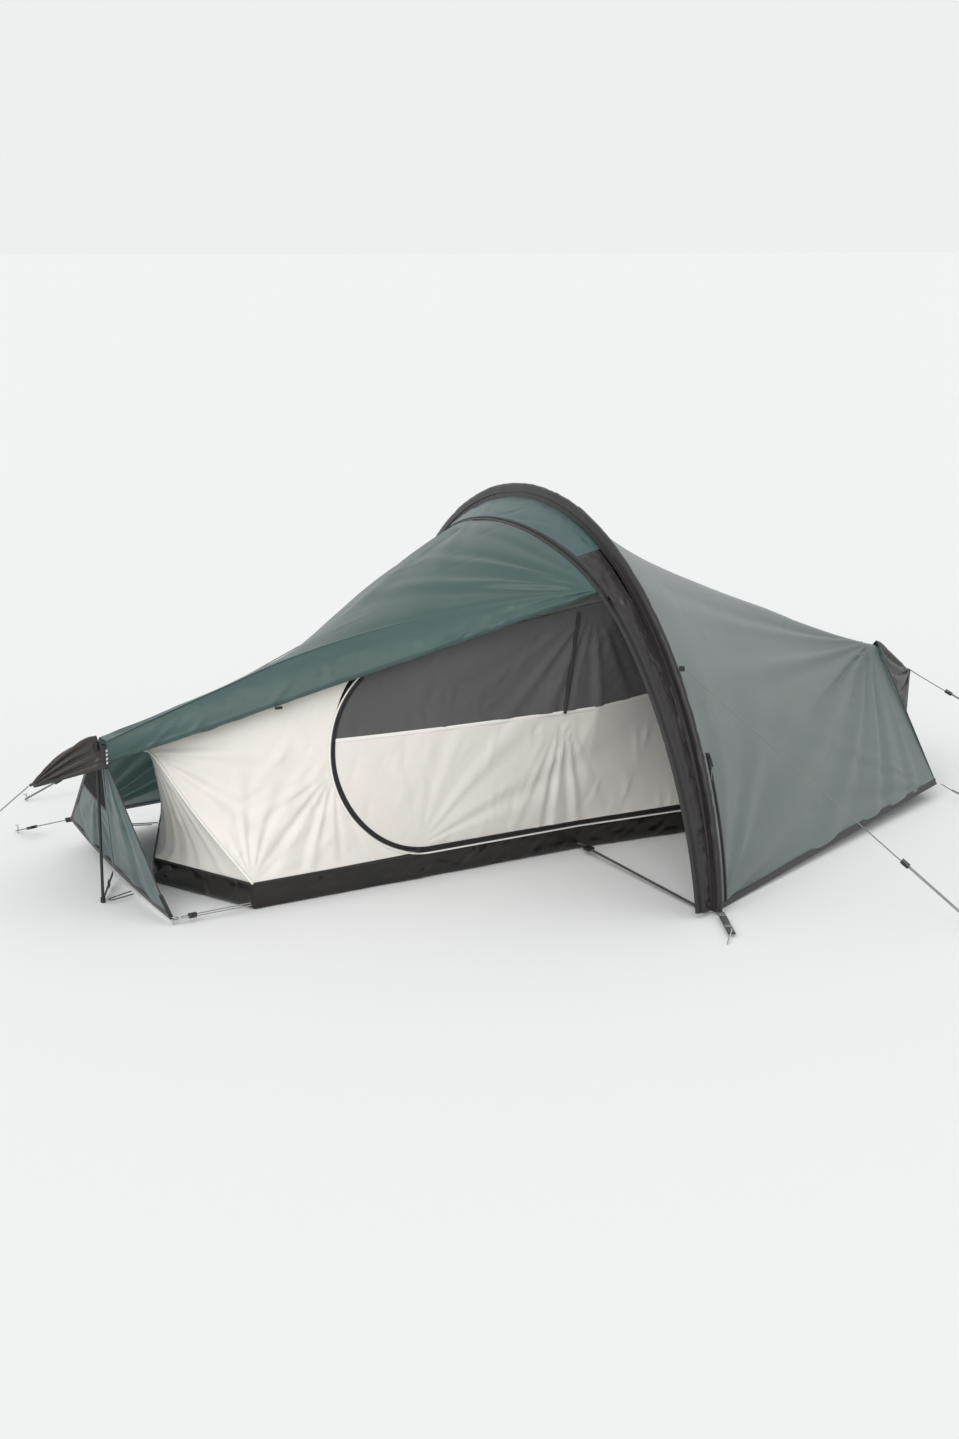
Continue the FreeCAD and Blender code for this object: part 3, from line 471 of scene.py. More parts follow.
def fabric(name, colour, rough=0.5, sheen=0.1, contrast=0.06, pitch=0.006, weave=0.25, alpha=1.0,
           through=0.0, specular=0.5):
    """Woven cloth. The pitch is its ripstop grid or rib spacing, in metres on the cloth."""
    mat, shader = shader_of(name)
    mottle(mat, shader, colour, CLOTH_CLOUDS, contrast)
    set_inputs(shader, Roughness=rough, Specular_IOR_Level=specular, Sheen_Weight=sheen, Alpha=alpha)
    if through:
        let_light_through(mat, shader, colour, through)
    threads = [thread_wave(mat, direction, pitch) for direction in ("X", "Y")]
    both = worked_out(mat, "MAXIMUM", *threads)
    grain = worked_out(mat, "MULTIPLY_ADD", both, THREAD_SHARE, noise(mat, CLOTH_GRAIN, 2))
    roughen(mat, shader, grain, weave, CLOTH_RELIEF)
    return mat


def hard(name, colour, rough, metal=0.0, coat=0.0):
    """Metal or moulded plastic with fine handling marks."""
    mat, shader = shader_of(name)
    mottle(mat, shader, colour, HARD_CLOUDS, HARD_CONTRAST)
    set_inputs(shader, Metallic=metal, Coat_Weight=coat)
    marks = noise(mat, HARD_MARKS, 4)
    spread = new_node(mat, "MapRange", To_Min=rough - SCRATCH, To_Max=rough + SCRATCH)
    link(mat, marks, spread.inputs["Value"])
    link(mat, spread.outputs["Result"], shader.inputs["Roughness"])
    roughen(mat, shader, marks, 0.15, HARD_RELIEF)
    return mat


FLY = fabric("fly_cloth", "48605f", rough=0.36, sheen=0.22, contrast=0.06, through=0.30)
# Painted light: the same teal fly cloth, painted lighter and greyer for the light that falls on the
# right wall.
FLY_RIGHT_PAINTED_LIGHT = fabric("fly_cloth_right_painted_light", "5d6866", rough=0.42, sheen=0.10, contrast=0.06)
CROWN = fabric("crown_cloth", "3c5253", rough=0.40, sheen=0.10, contrast=0.05)
BLACK = fabric("fly_black_cloth", "1e1a1a", rough=0.42, sheen=0.12, contrast=0.10)
# Painted light: the hoods' black cloth made lighter and browner, with strong mottling, to paint the
# sheen on the left hood's lit, glossy top.
HOOD_PAINTED_SHEEN = fabric("hood_cloth_painted_sheen", "2c2724", rough=0.30, sheen=0.08, contrast=0.35)
FLAP = fabric("storm_flap_cloth", "211c1b", rough=0.40, sheen=0.10, contrast=0.16)
INNER = fabric("inner_cloth", "ddd8d1", rough=0.70, sheen=0.2, contrast=0.03, pitch=0.005,
               weave=0.2, specular=0.3)
VENT = fabric("vent_mesh", "161617", rough=0.85, sheen=0.02, contrast=0.06, pitch=0.0012,
              weave=0.6, alpha=0.93, specular=0.2)
MESH = fabric("insect_mesh", "5e5d5e", rough=0.6, sheen=0.2, contrast=0.12, pitch=0.0012,
              weave=0.6, alpha=0.86, specular=0.2)
TUB = fabric("tub_cloth", "15110f", rough=0.24, sheen=0.02, contrast=0.2)
WEB = fabric("webbing_cloth", "1b1b1d", rough=0.6, sheen=0.2, contrast=0.08, pitch=0.0025,
             weave=0.9)
TAPE = fabric("binding_tape", "201e1f", rough=0.6, sheen=0.15, contrast=0.08, pitch=0.002,
              weave=0.8)
SEAM = fabric("inner_seam_tape", "e4e1db", rough=0.7, sheen=0.2, contrast=0.03, pitch=0.003)
MARK = fabric("reflective_marks", "dfe0df", rough=0.35, sheen=0.0, contrast=0.04, pitch=0.002)
CORD_CLOTH = fabric("guy_cord", "70726f", rough=0.7, sheen=0.2, contrast=0.18, pitch=0.0022,
                    weave=1.0)
ELASTIC = fabric("elastic_cord", "8d8e8c", rough=0.6, sheen=0.2, contrast=0.12, pitch=0.002,
                 weave=1.0)
ALLOY = hard("pole_alloy", "b9bcc0", 0.28, metal=1.0)
WIRE = hard("peg_wire", "c6c7c6", 0.25, metal=1.0)
PLASTIC = hard("moulded_plastic", "1c1c1d", 0.42, coat=0.1)
TEETH = hard("zip_coil", "222022", 0.35)
RUBBER = hard("shock_cord_rubber", "3a3a3c", 0.7)


# --- Meshes ---------------------------------------------------------------------------

TAPE_LIFT = 0.0012
# Across a tape: the share of its width, then of its lift.
TAPE_PROFILE = [(-0.5, -0.2), (-0.5, 0.6), (-0.36, 1.0), (0, 1.15), (0.36, 1.0), (0.5, 0.6),
                (0.5, -0.2)]


def sample(surface, us, vs):
    return np.array([[tuple(surface(u, v)) for v in vs] for u in us])


def unit(vectors):
    return vectors / np.linalg.norm(vectors, axis=-1, keepdims=True)


def rows_of(points):
    return np.array([tuple(p) for p in points])


def new_object(name, data):
    piece = bpy.data.objects.new(name, data)
    bpy.context.collection.objects.link(piece)
    return piece


def facing(grid, outward):
    """Normals of a grid that point to the side of the outward direction."""
    normal = np.cross(np.gradient(grid, axis=0), np.gradient(grid, axis=1))
    normal = normal / np.maximum(np.linalg.norm(normal, axis=2, keepdims=True), 1e-12)
    if (normal * np.array(outward)).sum(axis=2).mean() < 0:
        normal = -normal
    return normal


def soften(grid, column, reach):
    """Rounds the fold along one column of a grid."""
    result = grid.copy()
    for j in range(max(column - reach, 1), min(column + reach + 1, grid.shape[1] - 1)):
        low, high = max(j - reach, 0), min(j + reach, grid.shape[1] - 1)
        span = min(j - low, high - j)
        result[:, j] = grid[:, j - span:j + span + 1].mean(axis=1)
    return result


def fan(grid, anchor, toward, normal, turns, reach, depth, spread, phase=0.0):
    """Ripples that run out from a pulled point, deepest at the reach.

    A higher number of turns packs them closer; the spread is how far round they last."""
    anchor, toward = np.array(anchor), np.array(toward, dtype=float)
    toward = unit(toward - np.array(normal) * (toward * np.array(normal)).sum())
    side = np.cross(normal, toward)
    offset = grid - anchor
    angle = np.arctan2((offset * side).sum(axis=2), (offset * toward).sum(axis=2))
    distance = np.linalg.norm(offset, axis=2)
    size = depth * (distance / reach) * np.exp(1 - distance / reach)
    wave = np.cos(angle * turns + phase) + 0.35 * np.cos(angle * turns * 1.7 + 2.1 + phase)
    return size * wave * np.exp(-(angle / spread) ** 2)


def crease(grid, start, end, width, depth):
    """One long soft fold between two points."""
    start, end = np.array(start), np.array(end)
    along = end - start
    share = np.clip(((grid - start) * along).sum(axis=2) / (along * along).sum(), 0, 1)
    near = start + share[..., None] * along
    distance = np.linalg.norm(grid - near, axis=2)
    taper = np.sin(np.pi * np.clip(share, 0.02, 0.98)) ** 0.6
    return depth * taper * np.exp(-(distance / width) ** 2)


def crumple(grid, seed, count, direction, length, width, depth, jitter=0.5):
    """Small folds scattered over a cloth, mostly along one direction."""
    random = np.random.RandomState(seed)
    total = np.zeros(grid.shape[:2])
    flat = grid.reshape(-1, 3)
    direction = unit(np.array(direction, dtype=float))
    for _ in range(count):
        middle = flat[random.randint(len(flat))]
        way = unit(direction + random.normal(0, jitter, 3)) * length * random.uniform(0.4, 1.2) / 2
        amount = depth * random.uniform(0.4, 1.0) * random.choice([-1, 1])
        total += crease(grid, middle - way, middle + way, width * random.uniform(0.6, 1.4), amount)
    return total


def pinned(grid, margins):
    """1 inside the cloth, 0 at its sewn edges. Margins: shares at u 0, u 1, v 0, v 1."""
    mask = np.ones(grid.shape[:2])
    for axis, (first, last) in enumerate((margins[:2], margins[2:])):
        at = np.linspace(0, 1, grid.shape[axis])
        edge = np.ones_like(at)
        if first:
            edge = edge * np.clip(at / first, 0, 1)
        if last:
            edge = edge * np.clip((1 - at) / last, 0, 1)
        edge = edge * edge * (3 - 2 * edge)
        mask *= edge[:, None] if axis == 0 else edge[None, :]
    return mask


def mesh_object(name, verts, faces, uvs, mat):
    mesh = bpy.data.meshes.new(name)
    mesh.from_pydata([tuple(v) for v in verts], [], faces)
    if uvs is not None:
        layer = mesh.uv_layers.new(name="cloth")
        coordinates = np.array([uvs[loop.vertex_index] for loop in mesh.loops], dtype=np.float32)
        layer.data.foreach_set("uv", coordinates.ravel())
    mesh.materials.append(mat)
    mesh.polygons.foreach_set("use_smooth", [True] * len(mesh.polygons))
    return new_object(name, mesh)


def grid_faces(rows, columns):
    corners = [i * columns + j for i in range(rows - 1) for j in range(columns - 1)]
    return [(at, at + columns, at + columns + 1, at + 1) for at in corners]


def run_along(grid, axis):
    """The distance run on the cloth from its first edge, along one axis."""
    steps_on = np.diff(grid, axis=axis, prepend=np.take(grid, [0], axis=axis))
    return np.cumsum(np.linalg.norm(steps_on, axis=2), axis=axis)


def grid_uvs(grid):
    """Distances on the cloth, so that a weave keeps its size."""
    return np.stack([run_along(grid, 0), run_along(grid, 1)], axis=2).reshape(-1, 2)


def finish_piece(piece, nodes=(), body=ROOT):
    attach(piece, body)
    if nodes:
        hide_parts(*nodes)


def grid_piece(name, grid, mat, nodes=(), body=ROOT):
    piece = mesh_object(name, grid.reshape(-1, 3), grid_faces(*grid.shape[:2]), grid_uvs(grid), mat)
    finish_piece(piece, nodes, body)
    return piece


def cloth_piece(name, grid, fans, folds, margins, outward, mat, nodes=(), body=ROOT, extra=0.0,
                limits=(-1, 1)):
    """A sheet of cloth: a grid moved along its normals by its ripples.

    Fans and folds hold the arguments of fan and crumple; the limits are in metres."""
    ripple = extra + sum([fan(grid, *one) for one in fans] + [crumple(grid, *one) for one in folds])
    ripple = np.clip(ripple * pinned(grid, margins), *limits)
    moved = grid + facing(grid, outward) * ripple[..., None]
    piece = grid_piece(name, moved, mat, nodes, body)


def ribbon(name, path, outward, width, mat, slot, lift=TAPE_LIFT, nodes=(), body=ROOT):
    """A narrow sewn tape along a path, slightly domed, with its edges turned down."""
    path, outward = rows_of(path), unit(rows_of(outward))
    side = unit(np.cross(outward, np.gradient(path, axis=0)))
    grid = np.stack([path + side * width * s + outward * lift * h for s, h in TAPE_PROFILE], axis=1)
    grid_piece(name, grid, mat, nodes, body)


def tube(name, path, radius, mat, body=ROOT, sides=8):
    """A mesh tube along a path of points, closed at its ends."""
    path = rows_of(path)
    along = unit(np.gradient(path, axis=0))
    side = np.cross(along[0], (0, 0, 1) if abs(along[0][2]) < 0.9 else (1, 0, 0))
    rings = []
    for point, way in zip(path, along):
        side = unit(side - way * (side * way).sum())
        up = np.cross(way, side)
        rings.append([point + radius * (side * math.cos(t) + up * math.sin(t))
                      for t in np.linspace(0, 2 * math.pi, sides, endpoint=False)])
    verts = np.array(rings).reshape(-1, 3)
    faces = [(i * sides + j, i * sides + (j + 1) % sides, (i + 1) * sides + (j + 1) % sides,
              (i + 1) * sides + j) for i in range(len(path) - 1) for j in range(sides)]
    faces += [tuple(range(sides))[::-1], tuple((len(path) - 1) * sides + j for j in range(sides))]
    finish_piece(mesh_object(name, verts, faces, None, mat), body=body)


def blocks(name, places, size, mat):
    """Many small blocks, such as zip teeth or stitches, as one mesh.

    Each place is (centre, along, outward)."""
    half = np.array(size) / 2
    corners = [(x, y, z) for x in (-1, 1) for y in (-1, 1) for z in (-1, 1)]
    quads = [(0, 1, 3, 2), (4, 6, 7, 5), (0, 4, 5, 1), (2, 3, 7, 6), (0, 2, 6, 4), (1, 5, 7, 3)]
    verts, faces = [], []
    for centre, along, outward in places:
        along, outward = unit(np.array(along)), unit(np.array(outward))
        side = np.cross(outward, along)
        first = len(verts)
        for x, y, z in corners:
            verts.append(np.array(centre) + along * half[0] * x + side * half[1] * y
                         + outward * half[2] * z)
        faces += [tuple(first + i for i in quad) for quad in quads]
    piece = mesh_object(name, verts, faces, None, mat)
    piece.data.polygons.foreach_set("use_smooth", [False] * len(faces))
    finish_piece(piece)


def along_path(path, pitch):
    """Points and directions at an even pitch along a path."""
    path = rows_of(path)
    parts = np.linalg.norm(np.diff(path, axis=0), axis=1)
    run = np.concatenate([[0], np.cumsum(parts)])
    count = int(run[-1] / pitch)
    at = np.linspace(pitch / 2, run[-1] - pitch / 2, count)
    points = np.stack([np.interp(at, run, path[:, k]) for k in range(3)], axis=1)
    ways = np.gradient(points, axis=0)
    return points, ways


def surface_normal(surface, u, v, outward):
    reach = 0.004
    along = surface(min(u + reach, 1), v) - surface(max(u - reach, 0), v)
    across = surface(u, v + reach) - surface(u, v - reach)
    normal = along.cross(across).normalized()
    return -normal if normal.dot(Vector(outward)) < 0 else normal


# --- Flysheet -------------------------------------------------------------------------

STITCH_PITCH = 0.007
STITCH_SIZE = (0.0042, 0.0010, 0.0008)
HEM_LIFT = 0.0016
UNDER_SEAM = Vector((0, -0.0068, -0.0073))
ROLL_TURN = (8, 250)
ROLL_RADIUS = 0.0105
LEAST_ROLL = 0.004
FACE_BULGE = 0.006
FULL_FOLD = 0.05


def along_u(v, count):
    return [(u, v) for u in steps(count)]


def along_v(u, count):
    return [(u, v) for v in steps(count)]


def surface_tape(name, surface, points, outward, width, mat, slot, lift=TAPE_LIFT, **more):
    path = [surface(u, v) for u, v in points]
    normal = [surface_normal(surface, u, v, outward) for u, v in points]
    return ribbon(name, path, normal, width, mat, slot, lift, **more)


def stitches(name, surface, v, count, outward, mat):
    """A row of small stitches along a flysheet surface; outward holds for the whole row."""
    points, ways = along_path([surface(u, v) for u in steps(count)], STITCH_PITCH)
    raised = [p + np.array(outward) * TAPE_LIFT for p in points]
    blocks(name, [(p, w, outward) for p, w in zip(raised, ways)], STITCH_SIZE, mat)


def make_left_roof():
    grid = soften(sample(left_roof, steps(141), between(0, 2, 181)), 90, 6)
    corner, foot = left_hem(1), left_hem(0)
    kink, peak = door_seam(0), ridge_left(1)
    fans = [(kink, peak - kink, (-0.35, -0.75, 0.6), 27, 0.16, 0.0060, 1.15),
            (zip_line(100), (-1, 0.1, -0.3), (-0.3, 0, 1), 15, 0.22, 0.0030, 1.3),
            (peak, kink - peak, (-0.3, -0.6, 0.7), 24, 0.20, 0.0034, 0.8, 1.2),
            (corner, crest(0) - corner, (-0.3, 0.7, 0.6), 16, 0.22, 0.0048, 1.0),
            (foot, crest(-0.6) - foot, (-0.3, 0.8, 0.5), 14, 0.24, 0.0050, 1.0, 0.7)]
    folds = [(3, 34, (-1, 0.3, -0.5), 0.30, 0.012, 0.0016)]
    cloth_piece("roof_left", grid, fans, folds, (0.05, 0.05, 0.03, 0.02), (-0.35, -0.25, 1), FLY,
                ["fly_left_front", "fly_left_back"])
    surface_tape("hem_left_back", left_roof, along_u(1.988, 60), (-0.2, 1, 0.4), 0.016, TAPE,
                 "fly_black", HEM_LIFT, nodes=["hem_tapes"])
    surface_tape("seam_over_door", left_roof, along_u(0.004, 90), (-0.3, -1, 0.5), 0.007, FLY, "fly",
                 0.0014)
    stitches("seam_over_door_stitches", left_roof, 0.012, 120, (-0.25, -0.75, 0.6), FLY)


def door_fold_row(u, ahead):
    """Across the rolled-up door: its flat face below the seam, then the roll turned under."""
    seam, edge = door_seam(u), door_edge(u)
    down = (edge - seam + UNDER_SEAM).normalized()
    out = ahead.cross(down).normalized()
    if out.y > 0:
        out = -out
    fold = (edge - seam).length
    radius = min(ROLL_RADIUS, LEAST_ROLL + fold * 0.3)
    turn = edge - down * radius
    bulge = FACE_BULGE * min(fold / FULL_FOLD, 1)
    row = [mix(seam, turn, f) + out * bulge * math.sin(math.pi * f) for f in steps(14)]
    centre = turn - out * radius
    for angle in np.linspace(*ROLL_TURN, 18):
        t = math.radians(angle)
        row.append(centre + out * radius * math.cos(t) + down * radius * math.sin(t))
    return [tuple(p) for p in row]


def make_door_roll():
    along = door_edge(1) - door_edge(0)
    grid = np.array([door_fold_row(u, along.normalized()) for u in steps(220)])
    fans = [(door_seam(0), along, (-0.3, -0.8, 0.4), 30, 0.12, 0.0022, 0.6)]
    folds = [(11, 90, along + Vector((0, -0.12, -0.25)), 0.16, 0.006, 0.0026, 0.25)]
    cloth_piece("door_rolled_up", grid, fans, folds, (0.02, 0.02, 0.08, 0), (-0.3, -1, 0.2), FLY,
                ["fly_door_fold", "rolled_door"])


def make_right_fly():
    grid = soften(sample(right_fly, steps(131), between(0, 2, 181)), 90, 6)
    peak, corner, foot = ridge_right(1), right_hem(1, False), right_hem(0, False)
    far_corner, far_foot = right_hem(1, True), right_hem(0, True)
    front, back = (0.55, -0.7, 0.45), (0.5, 0.7, 0.5)
    fans = [(peak, foot - peak, front, 34, 0.40, 0.0080, 0.62, 0.4),
            (foot, peak - foot, front, 15, 0.20, 0.0052, 0.9),
            (corner, foot - corner, front, 26, 0.26, 0.0036, 0.5, 1.0),
            (far_corner, ridge_right(0) - far_corner, back, 15, 0.25, 0.0050, 0.9),
            (far_foot, peak - far_foot, back, 13, 0.22, 0.0050, 0.9)]
    folds = [(5, 150, peak - right_edge(22), 0.22, 0.006, 0.0022, 0.16)]
    # The right wall wears the fly cloth painted lighter and greyer for the light that falls on it.
    cloth_piece("fly_right", grid, fans, folds, (0.04, 0.05, 0.02, 0.02), (0.3, -0.2, 1), FLY_RIGHT_PAINTED_LIGHT,
                ["fly_right_front", "fly_right_back"])
    for label, v, side in (("front", 0.012, -1), ("back", 1.988, 1)):
        surface_tape("hem_right_" + label, right_fly, along_u(v, 60), (0.5, side, 0.3), 0.018, TAPE,
                     "fly_black", HEM_LIFT)
    stitches("hem_right_front_stitches", right_fly, 0.026, 90, (0.5, -0.8, 0.3), FLY_RIGHT_PAINTED_LIGHT)


def make_end(name, corners, vent, outward):
    """An end wall with its vent: plain cloth round the vent, mesh in it, tapes on the joins."""
    surface = end_panel(corners)
    first, last = vent
    parts = [("near", (0, first), (0, 1)), ("low", vent, (0, 0.5))]
    if last < 1:
        parts.append(("far", (last, 1), (0, 1)))
    for index, (label, s_range, w_range) in enumerate(parts):
        grid = sample(surface, between(*s_range, 50), between(*w_range, 50))
        low, high = surface(mix(*s_range, 0.2), w_range[0]), surface(mix(*s_range, 0.5), w_range[1])
        cloth_piece("end_%s_%s" % (name, label), grid,
                    [(high, low - high, outward, 13, 0.16, 0.0040, 0.9)],
                    [(20 + index, 14, low - high, 0.14, 0.010, 0.0022, 0.4)], (0.06, 0.06, 0.05, 0.05),
                    outward, FLY, ["fly_%s_end" % name] if index == 0 else [])
    grid = sample(surface, between(first, last, 40), between(0.5, 0.99, 40))
    cloth_piece("vent_mesh_" + name, grid, [], [(31, 12, (0, 0.3, 1), 0.12, 0.012, 0.0020)],
                (0.06, 0.06, 0.06, 0.06), outward, VENT,
                ["end_vent_meshes"] if name == "left" else [])
    edges = {"hem": along_u(0.015, 50), "near_edge": along_v(0.006, 50),
             "far_edge": along_v(0.994, 50), "vent_side": along_v(first, 50),
             "vent_foot": [(s, 0.5) for s in between(first, last, 40)]}
    for label, points in edges.items():
        bare = name == "right" and label.endswith("edge") or label == "vent_side"
        # On the right end the bare edge strips wear the fly cloth painted lighter for the light on the
        # right wall.
        cloth = FLY_RIGHT_PAINTED_LIGHT if name == "right" else FLY
        surface_tape("end_%s_%s" % (name, label), surface, points, outward,
                     0.016 if label == "hem" else 0.011, cloth if bare else TAPE,
                     "fly" if bare else "fly_black", HEM_LIFT)


def make_hood(name, corners, lift, outward):
    surface = hood(corners, lift)
    grid = sample(surface, steps(61), steps(81))
    share = np.linspace(0, 1, 61)[:, None]
    around = np.linspace(0, 1, 81)[None, :]
    pleats = np.abs(np.sin(math.pi * (7 * around + 0.9 * share))) ** 0.7
    folds = [(41, 26, surface(1, 0.5) - surface(0, 0.5), 0.09, 0.006, 0.0022, 0.3)]
    # The left hood wears the black cloth painted lighter for the sheen on its lit top; the right hood
    # wears the plain flap cloth.
    cloth_piece("hood_%s_cloth" % name, grid, [], folds, (0.12, 0, 0.04, 0.04), outward,
                HOOD_PAINTED_SHEEN if name == "left" else FLAP, ["hood_" + name],
                extra=0.012 * (pleats - 0.6) * np.sin(math.pi * share) ** 0.5)
    for label, points, width, rise in (("near", along_u(0.012, 40), 0.009, 0.0014),
                                       ("far", along_u(0.988, 40), 0.009, 0.0014),
                                       ("base", along_v(0.02, 40), 0.008, TAPE_LIFT)):
        surface_tape("hood_%s_%s" % (name, label), surface, points, outward, width, TAPE, "fly_black",
                     rise)


# --- Sleeve, flap and zips ------------------------------------------------------------

# Along the profile: the station, then the depth inside the hoop's outer line.
SLEEVE_PROFILE = [(0, -0.0115, 0.039), (1, -0.0098, 0.0115), (2, -0.0082, 0.0062),
                  (3, -0.0055, 0.0022), (4, 0, 0.0006), (5, 0.0055, 0.0022), (6, 0.0082, 0.0062),
                  (7, 0.0098, 0.0115), (8, 0.0115, 0.032)]
FLAP_TOP_ANGLE = 66
ZIP_TOOTH = (0.0019, 0.0062, 0.0022)
ZIP_TOOTH_PITCH = 0.0032
ZIP_TOOTH_LIFT = 0.0022
PULL_RADIUS = 0.0045
PULL_DROP = 0.019


def outward_at(angle):
    return (hoop_point(angle, 0, 0) - hoop_point(angle, 0.010, 0)).normalized()


def make_sleeve():
    profile = [smooth(SLEEVE_PROFILE, at) for at in np.linspace(0, 8, 33)]
    grid = np.array([[tuple(hoop_point(angle, inset, station)) for station, inset in profile]
                     for angle in between(0.8, 179.2, 260)])
    cloth_piece("pole_sleeve_band", grid, [], [(51, 150, (0, 1, 0.4), 0.10, 0.006, 0.0018, 0.8)],
                (0.01, 0.01, 0.10, 0.10), (0, 0, 1), BLACK, ["pole_sleeve"],
                limits=(-0.0012, 0.0018))
    for label, station in (("left", -0.0122), ("right", 0.0122)):
        path = [hoop_point(angle, 0.024, station) for angle in between(1, 179, 160)]
        tube("sleeve_seam_" + label, path, 0.0014, BLACK, sides=6)


def flap(a, v):
    return across_sleeve(mix(1.2, FLAP_TOP_ANGLE, a), v)


def crown(a, v):
    return across_sleeve(mix(FLAP_TOP_ANGLE, VENT_END_ANGLE + 2, a), v)


def puff(grid, depth):
    """One soft rise across a cloth from edge to edge."""
    return depth * np.sin(np.pi * np.linspace(0, 1, grid.shape[1]))


def make_flap_and_crown():
    """The storm flap, and the crown panel that carries on from it and starts under the sleeve."""
    grid = sample(flap, steps(181), steps(31))
    folds = [(61, 80, flap(1, 0.5) - flap(0, 0.5), 0.16, 0.007, 0.0042, 0.35),
             (62, 40, (1, 0.2, 0.6), 0.06, 0.006, 0.0030, 0.4)]
    cloth_piece("storm_flap_cloth_piece", grid, [], folds, (0.02, 0.02, 0.12, 0.06), (-0.4, -1, 0.3),
                FLAP, ["storm_flap"], extra=puff(grid, 0.006))
    grid = sample(crown, steps(141), np.linspace(-0.12, 1, 35))
    folds = [(64, 50, crown(1, 0.5) - crown(0, 0.5), 0.14, 0.008, 0.0022, 0.4)]
    cloth_piece("crown_cloth_piece", grid, [], folds, (0.02, 0.02, 0.10, 0.08), (-0.4, 0, 1), CROWN,
                ["crown_panel"], extra=puff(grid, 0.004))


def zip_strip(name, path, outward, width, nodes):
    ribbon(name + "_tape", path, outward, width, TAPE, "zip", nodes=nodes)
    points, ways = along_path(path, ZIP_TOOTH_PITCH)
    facing_out = rows_of(outward)
    at = np.linspace(0, 1, len(facing_out))
    where = np.linspace(0, 1, len(points))
    normal = np.stack([np.interp(where, at, facing_out[:, k]) for k in range(3)], axis=1)
    teeth = [(p + n * ZIP_TOOTH_LIFT, w, n) for p, w, n in zip(points, ways, normal)]
    blocks(name + "_teeth", teeth, ZIP_TOOTH, TEETH)


def make_zips():
    angles = between(1.5, VENT_END_ANGLE - 6, 140)
    outward = [outward_at(a) + Vector((-0.35, 0, 0)) for a in angles]
    zip_strip("door_zip", [zip_line(a) for a in angles], outward, 0.027, ["door_zip"])
    angles = between(2.5, 27, 60)
    outward = [outward_at(a) + Vector((0.3, 0, 0)) for a in angles]
    zip_strip("side_zip", [hoop_point(a, 0.0225, 0.030) for a in angles], outward, 0.012, ["side_zip"])


def make_zip_pull():
    """The cord loop through the side zip's pull tab."""
    low, high = [Vector(corner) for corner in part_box("side_zip_slider")]
    start = Vector(((low.x + high.x) / 2, low.y + 0.003, low.z + 0.004))
    path = []
    for turn in between(0, 2 * math.pi, 28):
        sag = PULL_DROP * math.cos(turn) - PULL_DROP
        path.append(start + Vector((PULL_RADIUS * math.sin(turn), -0.002, sag)))
    tube("side_zip_pull", path, 0.0011, CORD_CLOTH, body="side_zip_slider", sides=6)


# --- Inner tent -----------------------------------------------------------------------

FRONT = (0, -1, 0)
MESH_TAPE_STATION = -0.10
PIPING_OFFSET = 0.0105


def door_zip_path(offset=0.0):
    """Along the foot of the door, then up round its arc; the offset is outside the door."""
    foot_z = DOOR_ARC_HEIGHT - DOOR_ARC_RADIUS - offset
    foot = between(DOOR_HINGE_STATION - 0.006, DOOR_ARC_STATION + 0.04, 50)
    path = [near_wall(station, foot_z) for station in foot]
    for degrees in np.linspace(-92, -228, 62):
        turn = math.radians(degrees)
        tall = DOOR_ARC_RADIUS if math.sin(turn) < 0 else DOOR_ARC_UPPER
        path.append(near_wall(DOOR_ARC_STATION + (DOOR_ARC_RADIUS + offset) * math.cos(turn),
                              DOOR_ARC_HEIGHT + (tall + offset) * math.sin(turn)))
    return path


def make_inner_front():
    corner, top = wall_left(0, 0), wall_left(1, 0)
    arc = near_wall(DOOR_ARC_STATION - DOOR_ARC_RADIUS, DOOR_ARC_HEIGHT - 0.02)
    fans = [(corner, top - corner + Vector((0.3, 0, 0)), FRONT, 21, 0.10, 0.0030, 0.9),
            (top, corner - top + Vector((0.5, 0, 0)), FRONT, 15, 0.16, 0.0050, 0.8),
            (arc, (-0.75, 0, -1), FRONT, 25, 0.13, 0.0040, 0.6)]
    cloth_piece("inner_wall_left_cloth", sample(wall_left, steps(81), steps(81)), fans,
                [(71, 40, (0.6, 0, 1), 0.16, 0.010, 0.0036, 0.45)], (0.03, 0.03, 0.04, 0.04), FRONT,
                INNER, ["inner_wall_left"])
    cloth_piece("inner_wall_right_cloth", sample(wall_right, steps(61), steps(81)), [],
                [(72, 40, (-0.5, 0, 1), 0.2, 0.012, 0.0040, 0.4)], (0.03, 0.03, 0.04, 0.04), FRONT,
                INNER, ["inner_wall_right"])


